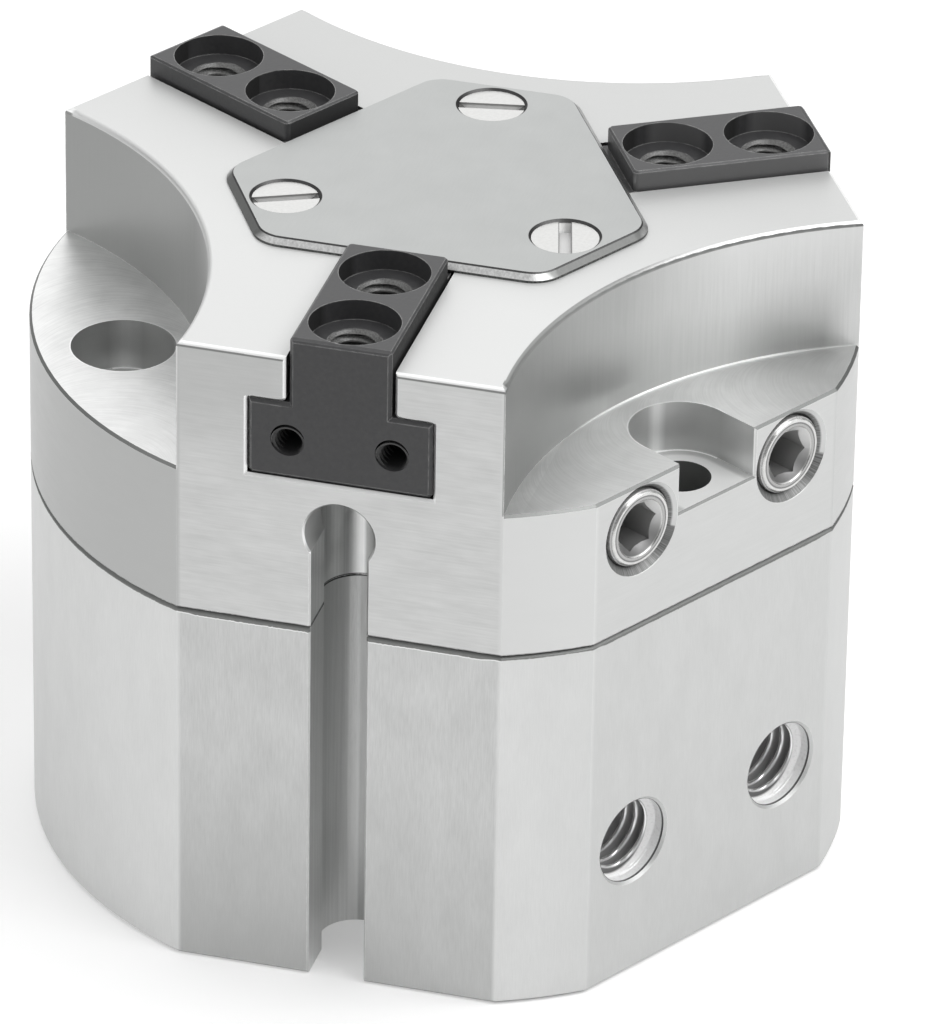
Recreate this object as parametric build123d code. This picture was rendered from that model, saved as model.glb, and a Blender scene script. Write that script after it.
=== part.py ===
from build123d import *
import os
from math import asin, cos, degrees, radians, sin, sqrt

# Three-jaw parallel gripper, air driven. All lengths are in millimetres.
# The origin is the centre of the base face, +Z points to the jaws, and the first jaw opens along -Y.

# Layout round the axis, in degrees
JAW_COUNT = 3
JAW_PITCH = 360 / JAW_COUNT
FIRST_JAW_ANGLE = -90
JAW_ANGLES = [FIRST_JAW_ANGLE + JAW_PITCH * index for index in range(JAW_COUNT)]
SCALLOP_ANGLES = [angle + JAW_PITCH / 2 for angle in JAW_ANGLES]
PORT_ANGLE = SCALLOP_ANGLES[0]

# Body outline
BODY_DIAMETER = 46.0
JAW_FLAT_DEPTH = 1.88
PORT_FLAT_DEPTH = 1.97
HOUSING_HEIGHT = 22.3
CAP_HEIGHT = 16.35
EDGE_BREAK = 0.25
SHARP_BREAK = 0.12
TOP_EDGE_ROUND = 0.3
LEDGE_BREAK = 0.15

# Scallops and ledges of the guide cap
SCALLOP_RADIUS = 24.0
SCALLOP_DROP = 7.7

# T-slots and jaws
SLOT_NECK_WIDTH = 6.05
SLOT_HEAD_WIDTH = 10.35
SLOT_HEAD_HEIGHT = 4.65
SLOT_LIP = 2.75
SLOT_LIP_ROUND = 0.28
SLOT_MOUTH_BREAK = 0.15
JAW_NECK_GAP = 0.2
JAW_SLIDE_GAP = 0.05
JAW_STROKE = 2.5
JAW_RISE = 1.15
JAW_TOP_LENGTH = 11.3
JAW_SEAT_DIAMETER = 5.0
JAW_SEAT_DEPTH = 1.2
JAW_THREAD_DIAMETER = 3.0
JAW_THREAD_DEPTH = 6.0
JAW_SEAT_PITCH = 5.8
JAW_SEAT_INSET = 2.8
JAW_END_HOLE_DIAMETER = 1.9
JAW_END_HOLE_DEPTH = 3.4
JAW_END_HOLE_SPACING = 5.8
JAW_END_BREAK = 0.2
JAW_CORNER_BREAK = 0.2
JAW_INNER_ROUND = 0.3

# Cover plate and its screws
PLATE_THICKNESS = 0.5
PLATE_JAW_GAP = 0.38
PLATE_SCALLOP_MARGIN = 2.45
PLATE_CORNER_RADIUS = 2.0
PLATE_EDGE_BREAK = 0.36
COVER_SCREW_EDGE = 2.55
COVER_SCREW_DIAMETER = 2.0
COVER_SCREW_LENGTH = 4.5
COVER_SEAT_DIAMETER = 4.0
COVER_SCREW_RECESS = 0.12
COVER_SLOT_WIDTH = 0.65
COVER_SLOT_DEPTH = 0.45
COVER_SLOT_ANGLES = [-75, 11, 25]

# Mounting holes through the ledges
MOUNT_EDGE_DISTANCE = 4.75
MOUNT_HOLE_DIAMETER = 3.4
MOUNT_SEAT_DIAMETER = 5.8
MOUNT_SEAT_DEPTH = 3.0
MOUNT_SEAT_BREAK = 0.12

# Sensor slots, one under each jaw
SENSOR_NECK_WIDTH = 3.15
SENSOR_BORE_DIAMETER = 4.26
SENSOR_BORE_DEPTH = 4.1
SENSOR_EYE_DIAMETER = 3.92
SENSOR_EYE_DEPTH = 6.25
SENSOR_EYE_DROP = 3.15
SENSOR_MOUTH_BREAK = 0.1

# Air ports, plugs and the drilled air ways
PORT_SPACING = 11.6
PORT_HEIGHT = 8.36
PORT_THREAD_DIAMETER = 5.0
PORT_THREAD_LENGTH = 6.4
PORT_MOUTH_BREAK = 0.15
PLUG_DIAMETER = 4.5
PLUG_DROP = 2.85
PLUG_HOLE_DEPTH = 5.0
PLUG_LENGTH = 4.0
PLUG_MOUTH_BREAK = 0.5
PLUG_RECESS = 0.08
PLUG_END_BREAK = 0.15
PLUG_DISH_DIAMETER = 3.44
PLUG_DISH_DEPTH = 0.45
PLUG_SOCKET = 2.5
PLUG_SOCKET_DEPTH = 2.2
PLUG_TURNS = [10, -8]
AIR_WAY_DIAMETER = 1.6
PURGE_WAY_DIAMETER = 1.2

# Cylinder and piston
BORE_DIAMETER = 25.0
PISTON_GAP = 0.05
PISTON_BOSS_INSET = 1.5
PISTON_BOSS_HEIGHT = 1.0
PISTON_LAND = 0.4
PISTON_SEAL_HEIGHT = 1.2
PISTON_SEAL_DEPTH = 1.3
MAGNET_HEIGHT = 1.5
MAGNET_WIDTH = 3.0
MAGNET_INSET = 0.2
SEAL_GAP = 0.02
PISTON_SCREW_DIAMETER = 4.0
PISTON_SCREW_LENGTH = 12.0
PISTON_SCREW_HEAD_DIAMETER = 7.0
PISTON_SCREW_HEAD_HEIGHT = 2.8
PISTON_SCREW_SOCKET = 2.5
ROD_SPIGOT_DIAMETER = 6.0
ROD_SPIGOT_LENGTH = 2.8

# Cylinder ends
RING_INSET = 0.8
RING_THICKNESS = 1.1
RING_GROOVE_DEPTH = 0.7
RING_GAP = 0.1
RING_WIDTH = 1.8
RING_OPENING = 30
RING_EYE_DIAMETER = 3.2
RING_EYE_HOLE = 1.3
END_CAP_THICKNESS = 3.0
STATIC_GAP = 0.03
O_RING_SECTION = 1.2
O_RING_CORNER = 0.35
O_RING_SIDE_GAP = 0.15
STOP_RING_RISE = 0.3
STOP_RING_DEPTH = 0.8
STOP_RING_WIDTH = 2.0
STOP_RING_RADIUS = 8.0
STOP_GAP = 0.02
GUIDE_SHOULDER = 0.5
ROD_GAP = 0.03
ROD_BORE_GAP = 0.15
ROD_SEAL_HEIGHT = 1.4
ROD_SEAL_WIDTH = 1.6
ROD_SEAL_LAND = 0.6
ROD_BUSH_WALL = 1.2

# Lever drive
CARRIER_SPIGOT = 1.3
CARRIER_WALL = 0.97
CARRIER_AIR_GROOVE_DEPTH = 1.2
CARRIER_AIR_GROOVE_HEIGHT = 1.4
SLOT_FLOOR_THICKNESS = 1.35
PIVOT_DROP = 3.0
LEVER_HUB_RADIUS = 2.3
LEVER_END_RADIUS = 1.3
LEVER_ROOT_WIDTH = 2.4
LEVER_TIP_WIDTH = 1.6
LEVER_THICKNESS = 3.6
LEVER_SIDE_GAP = 0.15
LEVER_HUB_GAP = 0.2
LEVER_END_GAP = 0.05
LEVER_UPPER_ARM = 6.0
LEVER_LOWER_ARM = 5.0
LEVER_PIN_DIAMETER = 2.5
LEVER_PIN_LENGTH = 12.0
LEVER_PIN_GAP = 0.03
ROD_OVER_LEVER_END = 0.5
ROD_FLANGE_STEP = 0.6
ROD_FLANGE_HEIGHT = 1.7
FLANGE_CLEARANCE = 0.4

# Fasteners between housing and cap
BODY_SCREW_EDGE = 3.7
BODY_SCREW_TURN = 26
BODY_SCREW_DIAMETER = 2.5
BODY_SCREW_HEAD_DIAMETER = 4.5
BODY_SCREW_HEAD_HEIGHT = 2.5
BODY_SCREW_SINK = 0.3
BODY_SCREW_SOCKET = 2.0
BODY_SCREW_ENGAGEMENT = 5.4
HOLE_END_GAP = 0.6
SCREW_SIDE_GAP = 0.1
THREAD_GAP = 0.02
LOCATING_PIN_DIAMETER = 2.0
LOCATING_PIN_LENGTH = 6.0
LOCATING_PIN_COUNT = 2

# Radii, worked out from the sizes above
BODY_RADIUS = BODY_DIAMETER / 2
JAW_FLAT = BODY_RADIUS - JAW_FLAT_DEPTH
PORT_FLAT = BODY_RADIUS - PORT_FLAT_DEPTH
BORE_RADIUS = BORE_DIAMETER / 2
GUIDE_RADIUS = BORE_RADIUS + GUIDE_SHOULDER
PISTON_RADIUS = BORE_RADIUS - PISTON_GAP
MAGNET_OUTER = PISTON_RADIUS - MAGNET_INSET
MAGNET_INNER = MAGNET_OUTER - MAGNET_WIDTH
MOUNT_RADIUS = BODY_RADIUS - MOUNT_EDGE_DISTANCE
SENSOR_AXIS = JAW_FLAT - SENSOR_BORE_DEPTH
BODY_SCREW_AXIS = BODY_RADIUS - BODY_SCREW_EDGE
LEVER_SLOT_END = GUIDE_RADIUS - CARRIER_WALL
LEVER_SLOT_WIDTH = LEVER_THICKNESS + 2 * LEVER_SIDE_GAP
PIVOT_RADIUS = LEVER_SLOT_END - LEVER_HUB_GAP - LEVER_HUB_RADIUS
LEVER_END_REACH = PIVOT_RADIUS - LEVER_LOWER_ARM
ROD_NECK_RADIUS = LEVER_END_REACH - LEVER_END_RADIUS - 2 * LEVER_END_GAP
ROD_RADIUS = LEVER_END_REACH + ROD_OVER_LEVER_END
ROD_FLANGE_RADIUS = ROD_RADIUS + ROD_FLANGE_STEP
ROD_SEAL_OUTER = ROD_RADIUS + ROD_SEAL_WIDTH
ROD_BUSH_OUTER = ROD_RADIUS + ROD_GAP + ROD_BUSH_WALL
CENTRE_BORE_RADIUS = ROD_FLANGE_RADIUS + FLANGE_CLEARANCE
JAW_INNER_END = CENTRE_BORE_RADIUS
JAW_TOP_INNER_END = JAW_FLAT - JAW_TOP_LENGTH
PLATE_JAW_EDGE = JAW_TOP_INNER_END - PLATE_JAW_GAP

# The scallop's arc joins the corners of two neighbouring jaw flats.
JAW_FLAT_HALF_WIDTH = sqrt(BODY_RADIUS**2 - JAW_FLAT**2)
JAW_FLAT_HALF_ANGLE = degrees(asin(JAW_FLAT_HALF_WIDTH / BODY_RADIUS))
CORNER_TURN = JAW_PITCH / 2 - JAW_FLAT_HALF_ANGLE
SCALLOP_HALF_CHORD = BODY_RADIUS * sin(radians(CORNER_TURN))
SCALLOP_CENTRE = BODY_RADIUS * cos(radians(CORNER_TURN)) + sqrt(SCALLOP_RADIUS**2 - SCALLOP_HALF_CHORD**2)
SCALLOP_NEAREST = SCALLOP_CENTRE - SCALLOP_RADIUS
PLATE_SCALLOP_EDGE = SCALLOP_NEAREST - PLATE_SCALLOP_MARGIN
COVER_SCREW_AXIS = PLATE_SCALLOP_EDGE - COVER_SCREW_EDGE

# Motion: the jaw's stroke sets the lever's swing, and the swing sets the piston's stroke.
LEVER_HALF_SWING = degrees(asin(JAW_STROKE / 2 / LEVER_UPPER_ARM))
PISTON_STROKE = 2 * LEVER_LOWER_ARM * sin(radians(LEVER_HALF_SWING))

# Heights above the base face
TOP_Z = HOUSING_HEIGHT + CAP_HEIGHT
LEDGE_Z = TOP_Z - SCALLOP_DROP
MOUNT_SEAT_Z = LEDGE_Z - MOUNT_SEAT_DEPTH
PLUG_Z = LEDGE_Z - PLUG_DROP
PLATE_TOP_Z = TOP_Z + PLATE_THICKNESS
SLOT_ROOF_Z = TOP_Z - SLOT_LIP
SLOT_FLOOR_Z = SLOT_ROOF_Z - SLOT_HEAD_HEIGHT
SENSOR_EYE_Z = SLOT_FLOOR_Z - SENSOR_EYE_DROP
RECESS_ROOF_Z = SLOT_FLOOR_Z - SLOT_FLOOR_THICKNESS
PIVOT_Z = RECESS_ROOF_Z - PIVOT_DROP
CARRIER_Z = HOUSING_HEIGHT - CARRIER_SPIGOT
RING_TOP_Z = RING_INSET + RING_THICKNESS
END_CAP_TOP_Z = RING_TOP_Z + END_CAP_THICKNESS
PISTON_Z = END_CAP_TOP_Z + STOP_RING_RISE
LOWER_SEAL_Z = PISTON_Z + PISTON_BOSS_HEIGHT + PISTON_LAND
MAGNET_Z = LOWER_SEAL_Z + PISTON_SEAL_HEIGHT + PISTON_LAND
PISTON_SPLIT_Z = MAGNET_Z + MAGNET_HEIGHT
UPPER_SEAL_Z = PISTON_SPLIT_Z + PISTON_LAND
PISTON_TOP_Z = UPPER_SEAL_Z + PISTON_SEAL_HEIGHT + PISTON_LAND + PISTON_BOSS_HEIGHT
SHOULDER_Z = PISTON_TOP_Z + PISTON_STROKE + STOP_GAP + STOP_RING_RISE
ROD_SEAL_Z = SHOULDER_Z + ROD_SEAL_LAND
ROD_BUSH_Z = ROD_SEAL_Z + ROD_SEAL_HEIGHT + ROD_SEAL_LAND
ROD_GROOVE_Z = PIVOT_Z - LEVER_LOWER_ARM * sin(radians(LEVER_HALF_SWING))
ROD_GROOVE_HALF_HEIGHT = LEVER_END_RADIUS + LEVER_END_GAP
JAW_POCKET_HALF_WIDTH = LEVER_END_RADIUS + LEVER_END_GAP
JAW_POCKET_TOP_Z = PIVOT_Z + LEVER_UPPER_ARM + LEVER_END_RADIUS + 2 * LEVER_END_GAP
BODY_SCREW_SEAT_Z = BODY_SCREW_SINK + BODY_SCREW_HEAD_HEIGHT

STANDING = (Align.CENTER, Align.CENTER, Align.MIN)


def turned(angle, shape):
    """The shape turned about the body's axis."""
    return Rot(Z=angle) * shape


def disc(radius, bottom, top):
    """A round block on the body's axis, between two heights."""
    return Pos(Z=bottom) * Cylinder(radius, top - bottom, align=STANDING)


def ring(inner, outer, bottom, top):
    """A flat ring on the body's axis, between two heights."""
    return disc(outer, bottom, top) - disc(inner, bottom, top)


def hole(diameter, radius, angle, bottom, top):
    """An upright round block at a radius and an angle, between two heights."""
    return turned(angle, Pos(radius, 0, bottom) * Cylinder(diameter / 2, top - bottom, align=STANDING))


def side_hole(diameter, flat, offset, z, depth):
    """A round block that reaches inwards from a flat that faces +X, at a sideways offset and a height."""
    mouth = Plane(origin=(flat, offset, z), x_dir=(0, 1, 0), z_dir=(-1, 0, 0))
    return extrude(mouth * Circle(diameter / 2), amount=depth)


def side_mouth(diameter, flat, offset, z, widening):
    """The small cone that breaks the edge of a hole in a flat that faces +X."""
    mouth = Plane(origin=(flat, offset, z), x_dir=(0, 1, 0), z_dir=(-1, 0, 0))
    cone = Cone(diameter / 2 + widening, diameter / 2, widening, align=STANDING)
    return mouth.location * cone


def prism(outline, bottom, top):
    """A flat outline raised between two heights."""
    return Pos(Z=bottom) * extrude(outline, amount=top - bottom)


def broken_at(part, height, length):
    """The part with a small chamfer on every edge that lies at this height."""
    return chamfer(part.edges().filter_by_position(Axis.Z, height, height), length=length)


def beyond_flat(flat, angle):
    """The area that a flat cuts off a round outline."""
    blank = Rectangle(BODY_DIAMETER, BODY_DIAMETER, align=(Align.MIN, Align.CENTER))
    return turned(angle, Pos(X=flat) * blank)


def round_outline():
    """The round body with its three jaw flats and the port flat."""
    outline = Circle(BODY_RADIUS)
    for angle in JAW_ANGLES:
        outline -= beyond_flat(JAW_FLAT, angle)
    return outline - beyond_flat(PORT_FLAT, PORT_ANGLE)


def arm_outline():
    """The cap's three arms: jaw flats joined by the scallops' arcs."""
    sides = []
    for flat_angle, scallop_angle in zip(JAW_ANGLES, SCALLOP_ANGLES):
        right = Vector(JAW_FLAT, JAW_FLAT_HALF_WIDTH).rotate(Axis.Z, flat_angle)
        left = Vector(JAW_FLAT, -JAW_FLAT_HALF_WIDTH).rotate(Axis.Z, flat_angle)
        after = Vector(JAW_FLAT, -JAW_FLAT_HALF_WIDTH).rotate(Axis.Z, flat_angle + JAW_PITCH)
        nearest = Vector(SCALLOP_NEAREST, 0).rotate(Axis.Z, scallop_angle)
        sides.append(Line(left, right))
        sides.append(ThreePointArc(right, nearest, after))
    return make_face(sides)


def plate_outline():
    """The cover plate: long sides face the jaws, short sides face the scallops."""
    outline = Circle(BODY_DIAMETER)
    for angle in JAW_ANGLES:
        outline -= turned(angle, Pos(X=PLATE_JAW_EDGE) * wide_blank())
    for angle in SCALLOP_ANGLES:
        outline -= turned(angle, Pos(X=PLATE_SCALLOP_EDGE) * wide_blank())
    return fillet(outline.vertices(), radius=PLATE_CORNER_RADIUS)


def wide_blank():
    """An area larger than the body, to one side of the Y axis."""
    return Rectangle(4 * BODY_DIAMETER, 4 * BODY_DIAMETER, align=(Align.MIN, Align.CENTER))


def tee(neck_width, head_width, head_height, height):
    """A T section, head down, standing on the origin of its sketch."""
    base = (Align.CENTER, Align.MIN)
    return Rectangle(head_width, head_height, align=base) + Rectangle(neck_width, height, align=base)


def along_x(section, start, end, z, taper=0):
    """A section drawn across X, raised to a height and drawn out between two places on X."""
    return Plane.YZ * Pos(0, z, start) * extrude(section, amount=end - start, taper=taper)


def flared(section, flat, z, length):
    """The space that breaks the edge of an opening of this section in a flat that faces +X."""
    return along_x(section, flat - length, flat + length, z, taper=-45)


def jaw_slot_section():
    """The T-slot's section, with the lower corners of its lips rounded."""
    section = tee(SLOT_NECK_WIDTH, SLOT_HEAD_WIDTH, SLOT_HEAD_HEIGHT, TOP_Z - SLOT_FLOOR_Z)
    shoulders = section.vertices().filter_by_position(Axis.Y, SLOT_HEAD_HEIGHT, SLOT_HEAD_HEIGHT)
    return fillet(shoulders.sort_by(Axis.X)[1:3], radius=SLOT_LIP_ROUND)


def sensor_slot(bottom, top):
    """The upright keyhole channel that takes a sensor, below the jaw that opens along +X."""
    neck_length = JAW_FLAT_DEPTH + SENSOR_BORE_DEPTH
    neck = Rectangle(neck_length, SENSOR_NECK_WIDTH, align=(Align.MIN, Align.CENTER))
    outline = Pos(X=SENSOR_AXIS) * (neck + Circle(SENSOR_BORE_DIAMETER / 2))
    inner = SENSOR_NECK_WIDTH / 2
    outer = inner + 2 * SENSOR_MOUTH_BREAK
    outline += Polygon(
        (JAW_FLAT - SENSOR_MOUTH_BREAK, -inner),
        (JAW_FLAT + SENSOR_MOUTH_BREAK, -outer),
        (JAW_FLAT + SENSOR_MOUTH_BREAK, outer),
        (JAW_FLAT - SENSOR_MOUTH_BREAK, inner),
        align=None,
    )
    return prism(outline, bottom, top)


def socket(width, depth):
    """A hexagon socket that reaches down from the origin."""
    outline = RegularPolygon(width / 2, 6, major_radius=False)
    return extrude(outline, amount=-depth)


def air_way(offset, end_z):
    """A slanted drilling from the inner end of a port to the cylinder wall."""
    start = Vector(PORT_FLAT - PORT_THREAD_LENGTH + AIR_WAY_DIAMETER / 2, offset, PORT_HEIGHT)
    wall = sqrt(BORE_RADIUS**2 - offset**2)
    end = Vector(wall - AIR_WAY_DIAMETER / 4, offset, end_z)
    drill = Plane(origin=start, z_dir=end - start)
    return extrude(drill * Circle(AIR_WAY_DIAMETER / 2), amount=(end - start).length)


def housing():
    """Lower body: cylinder bore, air ports, sensor slots and the screw holes."""
    part = prism(round_outline(), 0, HOUSING_HEIGHT)
    part = broken_at(part, HOUSING_HEIGHT, EDGE_BREAK)
    part = broken_at(part, 0, EDGE_BREAK)
    part -= disc(BORE_RADIUS, 0, SHOULDER_Z)
    part -= disc(GUIDE_RADIUS, SHOULDER_Z, HOUSING_HEIGHT)
    part -= disc(BORE_RADIUS + RING_GROOVE_DEPTH, RING_INSET, RING_TOP_Z)
    for angle in JAW_ANGLES:
        part -= turned(angle, sensor_slot(0, HOUSING_HEIGHT))
        part -= hole(
            BODY_SCREW_DIAMETER + 2 * SCREW_SIDE_GAP,
            BODY_SCREW_AXIS,
            angle + BODY_SCREW_TURN,
            0,
            HOUSING_HEIGHT,
        )
        part -= hole(
            BODY_SCREW_HEAD_DIAMETER + 2 * SCREW_SIDE_GAP,
            BODY_SCREW_AXIS,
            angle + BODY_SCREW_TURN,
            0,
            BODY_SCREW_SEAT_Z,
        )
    for angle in SCALLOP_ANGLES:
        part -= hole(MOUNT_HOLE_DIAMETER, MOUNT_RADIUS, angle, 0, HOUSING_HEIGHT)
    part -= locating_holes()
    closing_port = port(-PORT_SPACING / 2, SHOULDER_Z - AIR_WAY_DIAMETER)
    opening_port = port(PORT_SPACING / 2, PISTON_Z + AIR_WAY_DIAMETER / 4)
    return part - turned(PORT_ANGLE, closing_port + opening_port)


def port(offset, end_z):
    """A threaded air port in a flat that faces +X, with its air way."""
    part = side_hole(PORT_THREAD_DIAMETER, PORT_FLAT, offset, PORT_HEIGHT, PORT_THREAD_LENGTH)
    part += side_mouth(PORT_THREAD_DIAMETER, PORT_FLAT, offset, PORT_HEIGHT, PORT_MOUTH_BREAK)
    return part + air_way(offset, end_z)


def locating_holes():
    """Blind holes for the locating pins, half in the housing and half in the cap."""
    reach = LOCATING_PIN_LENGTH / 2 + HOLE_END_GAP / 2
    holes = []
    for angle in JAW_ANGLES[:LOCATING_PIN_COUNT]:
        holes.append(
            hole(
                LOCATING_PIN_DIAMETER + 2 * THREAD_GAP,
                BODY_SCREW_AXIS,
                angle - BODY_SCREW_TURN,
                HOUSING_HEIGHT - reach,
                HOUSING_HEIGHT + reach,
            )
        )
    return holes


def guide_cap():
    """Upper body: three arms with T-slots, and ledges with the mounting screws' seats."""
    base = broken_at(prism(round_outline(), HOUSING_HEIGHT, LEDGE_Z), LEDGE_Z, LEDGE_BREAK)
    arms = prism(arm_outline(), HOUSING_HEIGHT, TOP_Z)
    top_edges = arms.edges().filter_by_position(Axis.Z, TOP_Z, TOP_Z)
    part = base + fillet(top_edges, radius=TOP_EDGE_ROUND)
    part -= disc(GUIDE_RADIUS, HOUSING_HEIGHT, RECESS_ROOF_Z)
    part -= disc(CENTRE_BORE_RADIUS, RECESS_ROOF_Z, TOP_Z)
    slot = jaw_slot_section()
    for angle in JAW_ANGLES:
        part -= turned(angle, along_x(slot, 0, BODY_RADIUS, SLOT_FLOOR_Z))
        part -= turned(angle, flared(slot, JAW_FLAT, SLOT_FLOOR_Z, SLOT_MOUTH_BREAK))
        part -= turned(angle, lever_window(RECESS_ROOF_Z, SLOT_FLOOR_Z))
        part -= turned(angle, sensor_slot(HOUSING_HEIGHT, SENSOR_EYE_Z))
        part -= turned(angle, side_hole(SENSOR_EYE_DIAMETER, JAW_FLAT, 0, SENSOR_EYE_Z, SENSOR_EYE_DEPTH))
        part -= turned(angle, side_mouth(SENSOR_EYE_DIAMETER, JAW_FLAT, 0, SENSOR_EYE_Z, SENSOR_MOUTH_BREAK))
        part -= hole(
            BODY_SCREW_DIAMETER,
            BODY_SCREW_AXIS,
            angle + BODY_SCREW_TURN,
            HOUSING_HEIGHT,
            HOUSING_HEIGHT + BODY_SCREW_ENGAGEMENT + HOLE_END_GAP,
        )
    for angle in SCALLOP_ANGLES:
        part -= hole(MOUNT_HOLE_DIAMETER, MOUNT_RADIUS, angle, HOUSING_HEIGHT, LEDGE_Z)
        part -= hole(MOUNT_SEAT_DIAMETER, MOUNT_RADIUS, angle, MOUNT_SEAT_Z, LEDGE_Z)
        part -= cover_screw_seat(angle)
    part -= locating_holes()
    return part - turned(PORT_ANGLE, port_side_cuts())


def port_side_cuts():
    """The open screw seat and the two plugged holes in the cap's port flat, facing +X."""
    seat_way = Rectangle(MOUNT_SEAT_DIAMETER, MOUNT_SEAT_DEPTH, align=(Align.CENTER, Align.MIN))
    cuts = along_x(seat_way, MOUNT_RADIUS, BODY_RADIUS, MOUNT_SEAT_Z)
    cuts += flared(seat_way, PORT_FLAT, MOUNT_SEAT_Z, MOUNT_SEAT_BREAK)
    for side in (-1, 1):
        offset = side * PORT_SPACING / 2
        purge_depth = PORT_FLAT - sqrt(GUIDE_RADIUS**2 - offset**2) + PURGE_WAY_DIAMETER
        cuts += side_hole(PLUG_DIAMETER, PORT_FLAT, offset, PLUG_Z, PLUG_HOLE_DEPTH)
        cuts += side_mouth(PLUG_DIAMETER, PORT_FLAT, offset, PLUG_Z, PLUG_MOUTH_BREAK)
        cuts += side_hole(PURGE_WAY_DIAMETER, PORT_FLAT, offset, PLUG_Z, purge_depth)
    return cuts


def lever_window(bottom, top):
    """The slot that a lever swings in, open to the centre."""
    blank = Rectangle(LEVER_SLOT_END, LEVER_SLOT_WIDTH, align=(Align.MIN, Align.CENTER))
    return prism(blank, bottom, top)


def cover_screw_seat(angle):
    """The cap's share of a countersunk hole for a cover screw."""
    thread_bottom = PLATE_TOP_Z - COVER_SCREW_RECESS - COVER_SCREW_LENGTH - HOLE_END_GAP
    thread = hole(COVER_SCREW_DIAMETER + 2 * THREAD_GAP, COVER_SCREW_AXIS, angle, thread_bottom, TOP_Z)
    return thread + countersink(angle)


def countersink(angle):
    """The cone of a cover screw's seat, down from the plate's top face."""
    small = COVER_SCREW_DIAMETER / 2
    large = COVER_SEAT_DIAMETER / 2
    cone = Cone(small, large, large - small, align=(Align.CENTER, Align.CENTER, Align.MAX))
    return turned(angle, Pos(COVER_SCREW_AXIS, 0, PLATE_TOP_Z) * cone)


def cover_plate():
    """Thin plate that closes the cap over the levers."""
    part = prism(plate_outline(), TOP_Z, PLATE_TOP_Z)
    part = broken_at(part, PLATE_TOP_Z, PLATE_EDGE_BREAK)
    for angle in SCALLOP_ANGLES:
        part -= hole(COVER_SCREW_DIAMETER + 2 * THREAD_GAP, COVER_SCREW_AXIS, angle, TOP_Z, PLATE_TOP_Z)
        part -= countersink(angle)
    return part


def cover_screws():
    """Slotted countersunk screws, each turned to its own angle."""
    screws = []
    for angle, slot_angle in zip(SCALLOP_ANGLES, COVER_SLOT_ANGLES):
        top = PLATE_TOP_Z - COVER_SCREW_RECESS
        head_radius = COVER_SEAT_DIAMETER / 2 - COVER_SCREW_RECESS - THREAD_GAP
        head_height = head_radius - COVER_SCREW_DIAMETER / 2
        head = Cone(
            COVER_SCREW_DIAMETER / 2,
            head_radius,
            head_height,
            align=(Align.CENTER, Align.CENTER, Align.MAX),
        )
        shank = Cylinder(
            COVER_SCREW_DIAMETER / 2,
            COVER_SCREW_LENGTH,
            align=(Align.CENTER, Align.CENTER, Align.MAX),
        )
        slot = Box(COVER_SEAT_DIAMETER, COVER_SLOT_WIDTH, 2 * COVER_SLOT_DEPTH)
        screw = head + shank - Rot(Z=slot_angle - angle) * slot
        screws.append(turned(angle, Pos(COVER_SCREW_AXIS, 0, top) * screw))
    return screws


def port_plugs():
    """Hexagon-socket plugs that close the two holes in the cap's port flat."""
    radius = PLUG_DIAMETER / 2 - THREAD_GAP
    plug = chamfer(
        Cylinder(radius, PLUG_LENGTH, align=(Align.CENTER, Align.CENTER, Align.MAX)).edges(),
        length=PLUG_END_BREAK,
    )
    plug -= Cone(
        PLUG_DISH_DIAMETER / 2 - PLUG_DISH_DEPTH,
        PLUG_DISH_DIAMETER / 2,
        PLUG_DISH_DEPTH,
        align=(Align.CENTER, Align.CENTER, Align.MAX),
    )
    plug -= socket(PLUG_SOCKET, PLUG_SOCKET_DEPTH)
    plugs = []
    for side, turn in zip((-1, 1), PLUG_TURNS):
        origin = (PORT_FLAT - PLUG_RECESS, side * PORT_SPACING / 2, PLUG_Z)
        seat = Plane(origin=origin, x_dir=(0, 1, 0), z_dir=(1, 0, 0))
        plugs.append(turned(PORT_ANGLE, seat.location * Rot(Z=turn) * plug))
    return plugs


def body_screws():
    """Socket screws that pull the cap onto the housing, from below."""
    head = disc(BODY_SCREW_HEAD_DIAMETER / 2, BODY_SCREW_SINK, BODY_SCREW_SEAT_Z)
    shank_radius = BODY_SCREW_DIAMETER / 2 - THREAD_GAP
    shank = disc(shank_radius, BODY_SCREW_SEAT_Z, HOUSING_HEIGHT + BODY_SCREW_ENGAGEMENT)
    recess = Pos(Z=BODY_SCREW_SINK) * Rot(X=180) * socket(BODY_SCREW_SOCKET, BODY_SCREW_HEAD_HEIGHT / 2)
    screw = head + shank - recess
    return [turned(angle + BODY_SCREW_TURN, Pos(X=BODY_SCREW_AXIS) * screw) for angle in JAW_ANGLES]


def locating_pins():
    """Dowels that line the cap up with the housing."""
    pins = []
    for angle in JAW_ANGLES[:LOCATING_PIN_COUNT]:
        pins.append(
            hole(
                LOCATING_PIN_DIAMETER,
                BODY_SCREW_AXIS,
                angle - BODY_SCREW_TURN,
                HOUSING_HEIGHT - LOCATING_PIN_LENGTH / 2,
                HOUSING_HEIGHT + LOCATING_PIN_LENGTH / 2,
            )
        )
    return pins


def o_ring(outer, z):
    """An O-ring squeezed flat between its groove and a bore of this radius."""
    half_height = O_RING_SECTION / 2
    squeezed = ring(outer - O_RING_SECTION, outer, z - half_height, z + half_height)
    return chamfer(squeezed.edges().filter_by(GeomType.CIRCLE), length=O_RING_CORNER)


def o_ring_groove(outer, z):
    """The groove for an O-ring that seals against a bore of this radius."""
    half_height = O_RING_SECTION / 2 + O_RING_SIDE_GAP
    return ring(outer - O_RING_SECTION, outer, z - half_height, z + half_height)


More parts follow.
